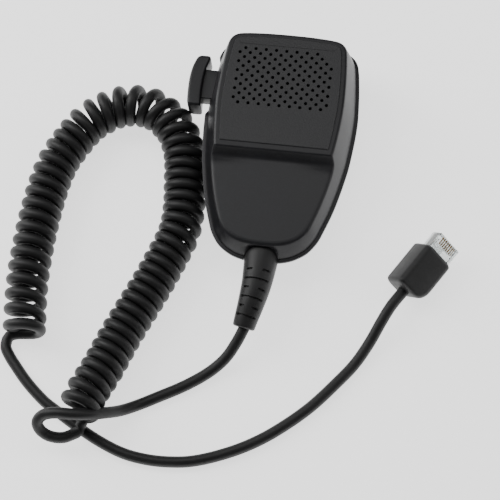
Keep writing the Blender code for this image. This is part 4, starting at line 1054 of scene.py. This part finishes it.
def make_plug_body():
    """The clear body: rounded edges, a bevelled nose, one slot per contact and the notch of the bar that
    grips the cord."""
    x, z = (PLUG_REAR_X, PLUG_NOSE), (PLUG_BOTTOM_Z, PLUG_TOP_Z)
    body = block("clear_plug", x, (-PLUG_WIDTH / 2, PLUG_WIDTH / 2), z, (clear_plastic,), 0.35, 3, PLUG_PLACE)
    slot_x, slot_z = (PLUG_NOSE - 4.1, PLUG_NOSE - 0.5), (PLUG_TOP_Z - 2.5, PLUG_TOP_Z + 1)
    slots = [
        block("slot", slot_x, (y - 0.275, y + 0.275), slot_z, (), 0, 3, PLUG_PLACE) for y in CONTACT_Y
    ]
    notch_z = (PLUG_TOP_Z - 1.5, PLUG_TOP_Z + 1)
    notch = block("notch", (12.4, 15.4), (-3.4, 3.4), notch_z, (), 0, 3, PLUG_PLACE)
    channel = block("channel", (PLUG_REAR_X - 1, 19.6), (-4.6, 4.6), (0.0, 3.0), (), 0.5, 3, PLUG_PLACE)
    cut(body, [*slots, notch, channel])
    shade(body, 35)
    return body


def make_plug_wires():
    """Eight insulated conductors and the end of the cord's jacket, seen through the clear body."""
    spans = (6.0, 14.0), (-4.0, 4.0), (0.3, 2.7)
    jacket = block("plug_jacket", *spans, (cord_polyurethane,), 0.9, 4, PLUG_PLACE)
    wires = []
    tints = [white_wire, brass_strip, red_wire, white_wire]
    tints += [brass_strip, blue_wire, white_wire, brass_strip]
    profile = [(0.4, 0), (0.4, 4.9)]
    for y, tint in zip(CONTACT_Y, tints):
        wires.append(turned("plug_wire", profile, [tint], (14.2, y, 1.5), (1, 0, 0), 12, 40, PLUG_PLACE))
    return jacket, wires


def make_hang_button():
    """A turned mushroom head with rounded edges and a blind hole for its screw, seen from inside."""
    profile = [(0.4, 0), (6.75, 0), (6.75, 2.4), (3.75, 2.4), (3.75, 4.7), (1.6, 4.7), (1.6, 1.6), (0.4, 1.6)]
    shaped = np.concatenate([[profile[0]], rounded(profile[:5], 0.6, 5)[1:-1], profile[4:]])
    return turned("hang_up_button", shaped, [nickel_plate], sides=64, angle=30)


# ---------------------------------------------------------------- the CAD's own pieces, and the whole

NODE_FINISHES = [
    (board_laminate, ["circuit_board"]),
    (aluminium_can, ["microphone_capsule", "output_capacitor"]),
    (zinc_plate, ["board_screw_1", "board_screw_2", "clamp_screw", "hang_button_screw", "cord_clamp"]),
    (nickel_plate, ["hang_contact_plate"]),
    (brass_strip, ["ptt_switch_plunger"]),
    (component_plastic, ["preamp_chip", "ptt_switch", "cord_header"]),
    (trimmer_blue, ["gain_trimmer"]),
    (boot_rubber, ["capsule_holder"]),
    (black_felt, ["grille_cloth"]),
    (cord_polyurethane, ["inner_cord"]),
    (clear_plastic, ["plug_latch"]),
    (gold_plate, [f"plug_contact_{n}" for n in range(1, 9)]),
    (red_wire, ["cord_wire_1"]),
    (white_wire, ["cord_wire_2"]),
    (blue_wire, ["cord_wire_3"]),
    (yellow_wire, ["cord_wire_4"]),
]


def finish_nodes():
    """The CAD's own pieces that stay in view get their finishes."""
    for node_finish, names in NODE_FINISHES:
        for name in names:
            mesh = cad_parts[name].data
            mesh.materials.clear()
            mesh.materials.append(node_finish)


def ride_as(piece, node_names, body="microphone"):
    """The piece moves with the body and stands in for the named nodes."""
    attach(piece, body)
    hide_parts(*node_names)


ride_as(make_front_shell(), ["front_housing"])
ride_as(make_rear_shell(), ["rear_housing"])
for number, (x, y) in enumerate(HOUSING_SCREWS, 1):
    screw = make_housing_screw(f"housing_screw_{number}_head", x, y)
    ride_as(screw, [f"housing_screw_{number}"])
ride_as(make_bar(), ["ptt_button"], "ptt")
return_spring = make_spring()
ride_as(return_spring, ["ptt_spring"])
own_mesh(return_spring)
ride_as(make_relief(), ["cord_boot"])
ride_as(make_hang_button(), ["hang_button"])
plug_cover, plug_body = make_plug_cover(), make_plug_body()
ride_as(plug_cover, ["plug_boot"])
ride_as(plug_body, ["plug_body"])
plug_jacket, plug_wires = make_plug_wires()
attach(plug_jacket, "microphone")
for wire in plug_wires:
    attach(wire, "microphone")
finish_nodes()

make_camera()
make_studio()
curly_cord, cord_path, cord_length = make_cord()
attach(curly_cord, "microphone")
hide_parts("cord_tail_mic", "cord_coil", "cord_tail_plug")
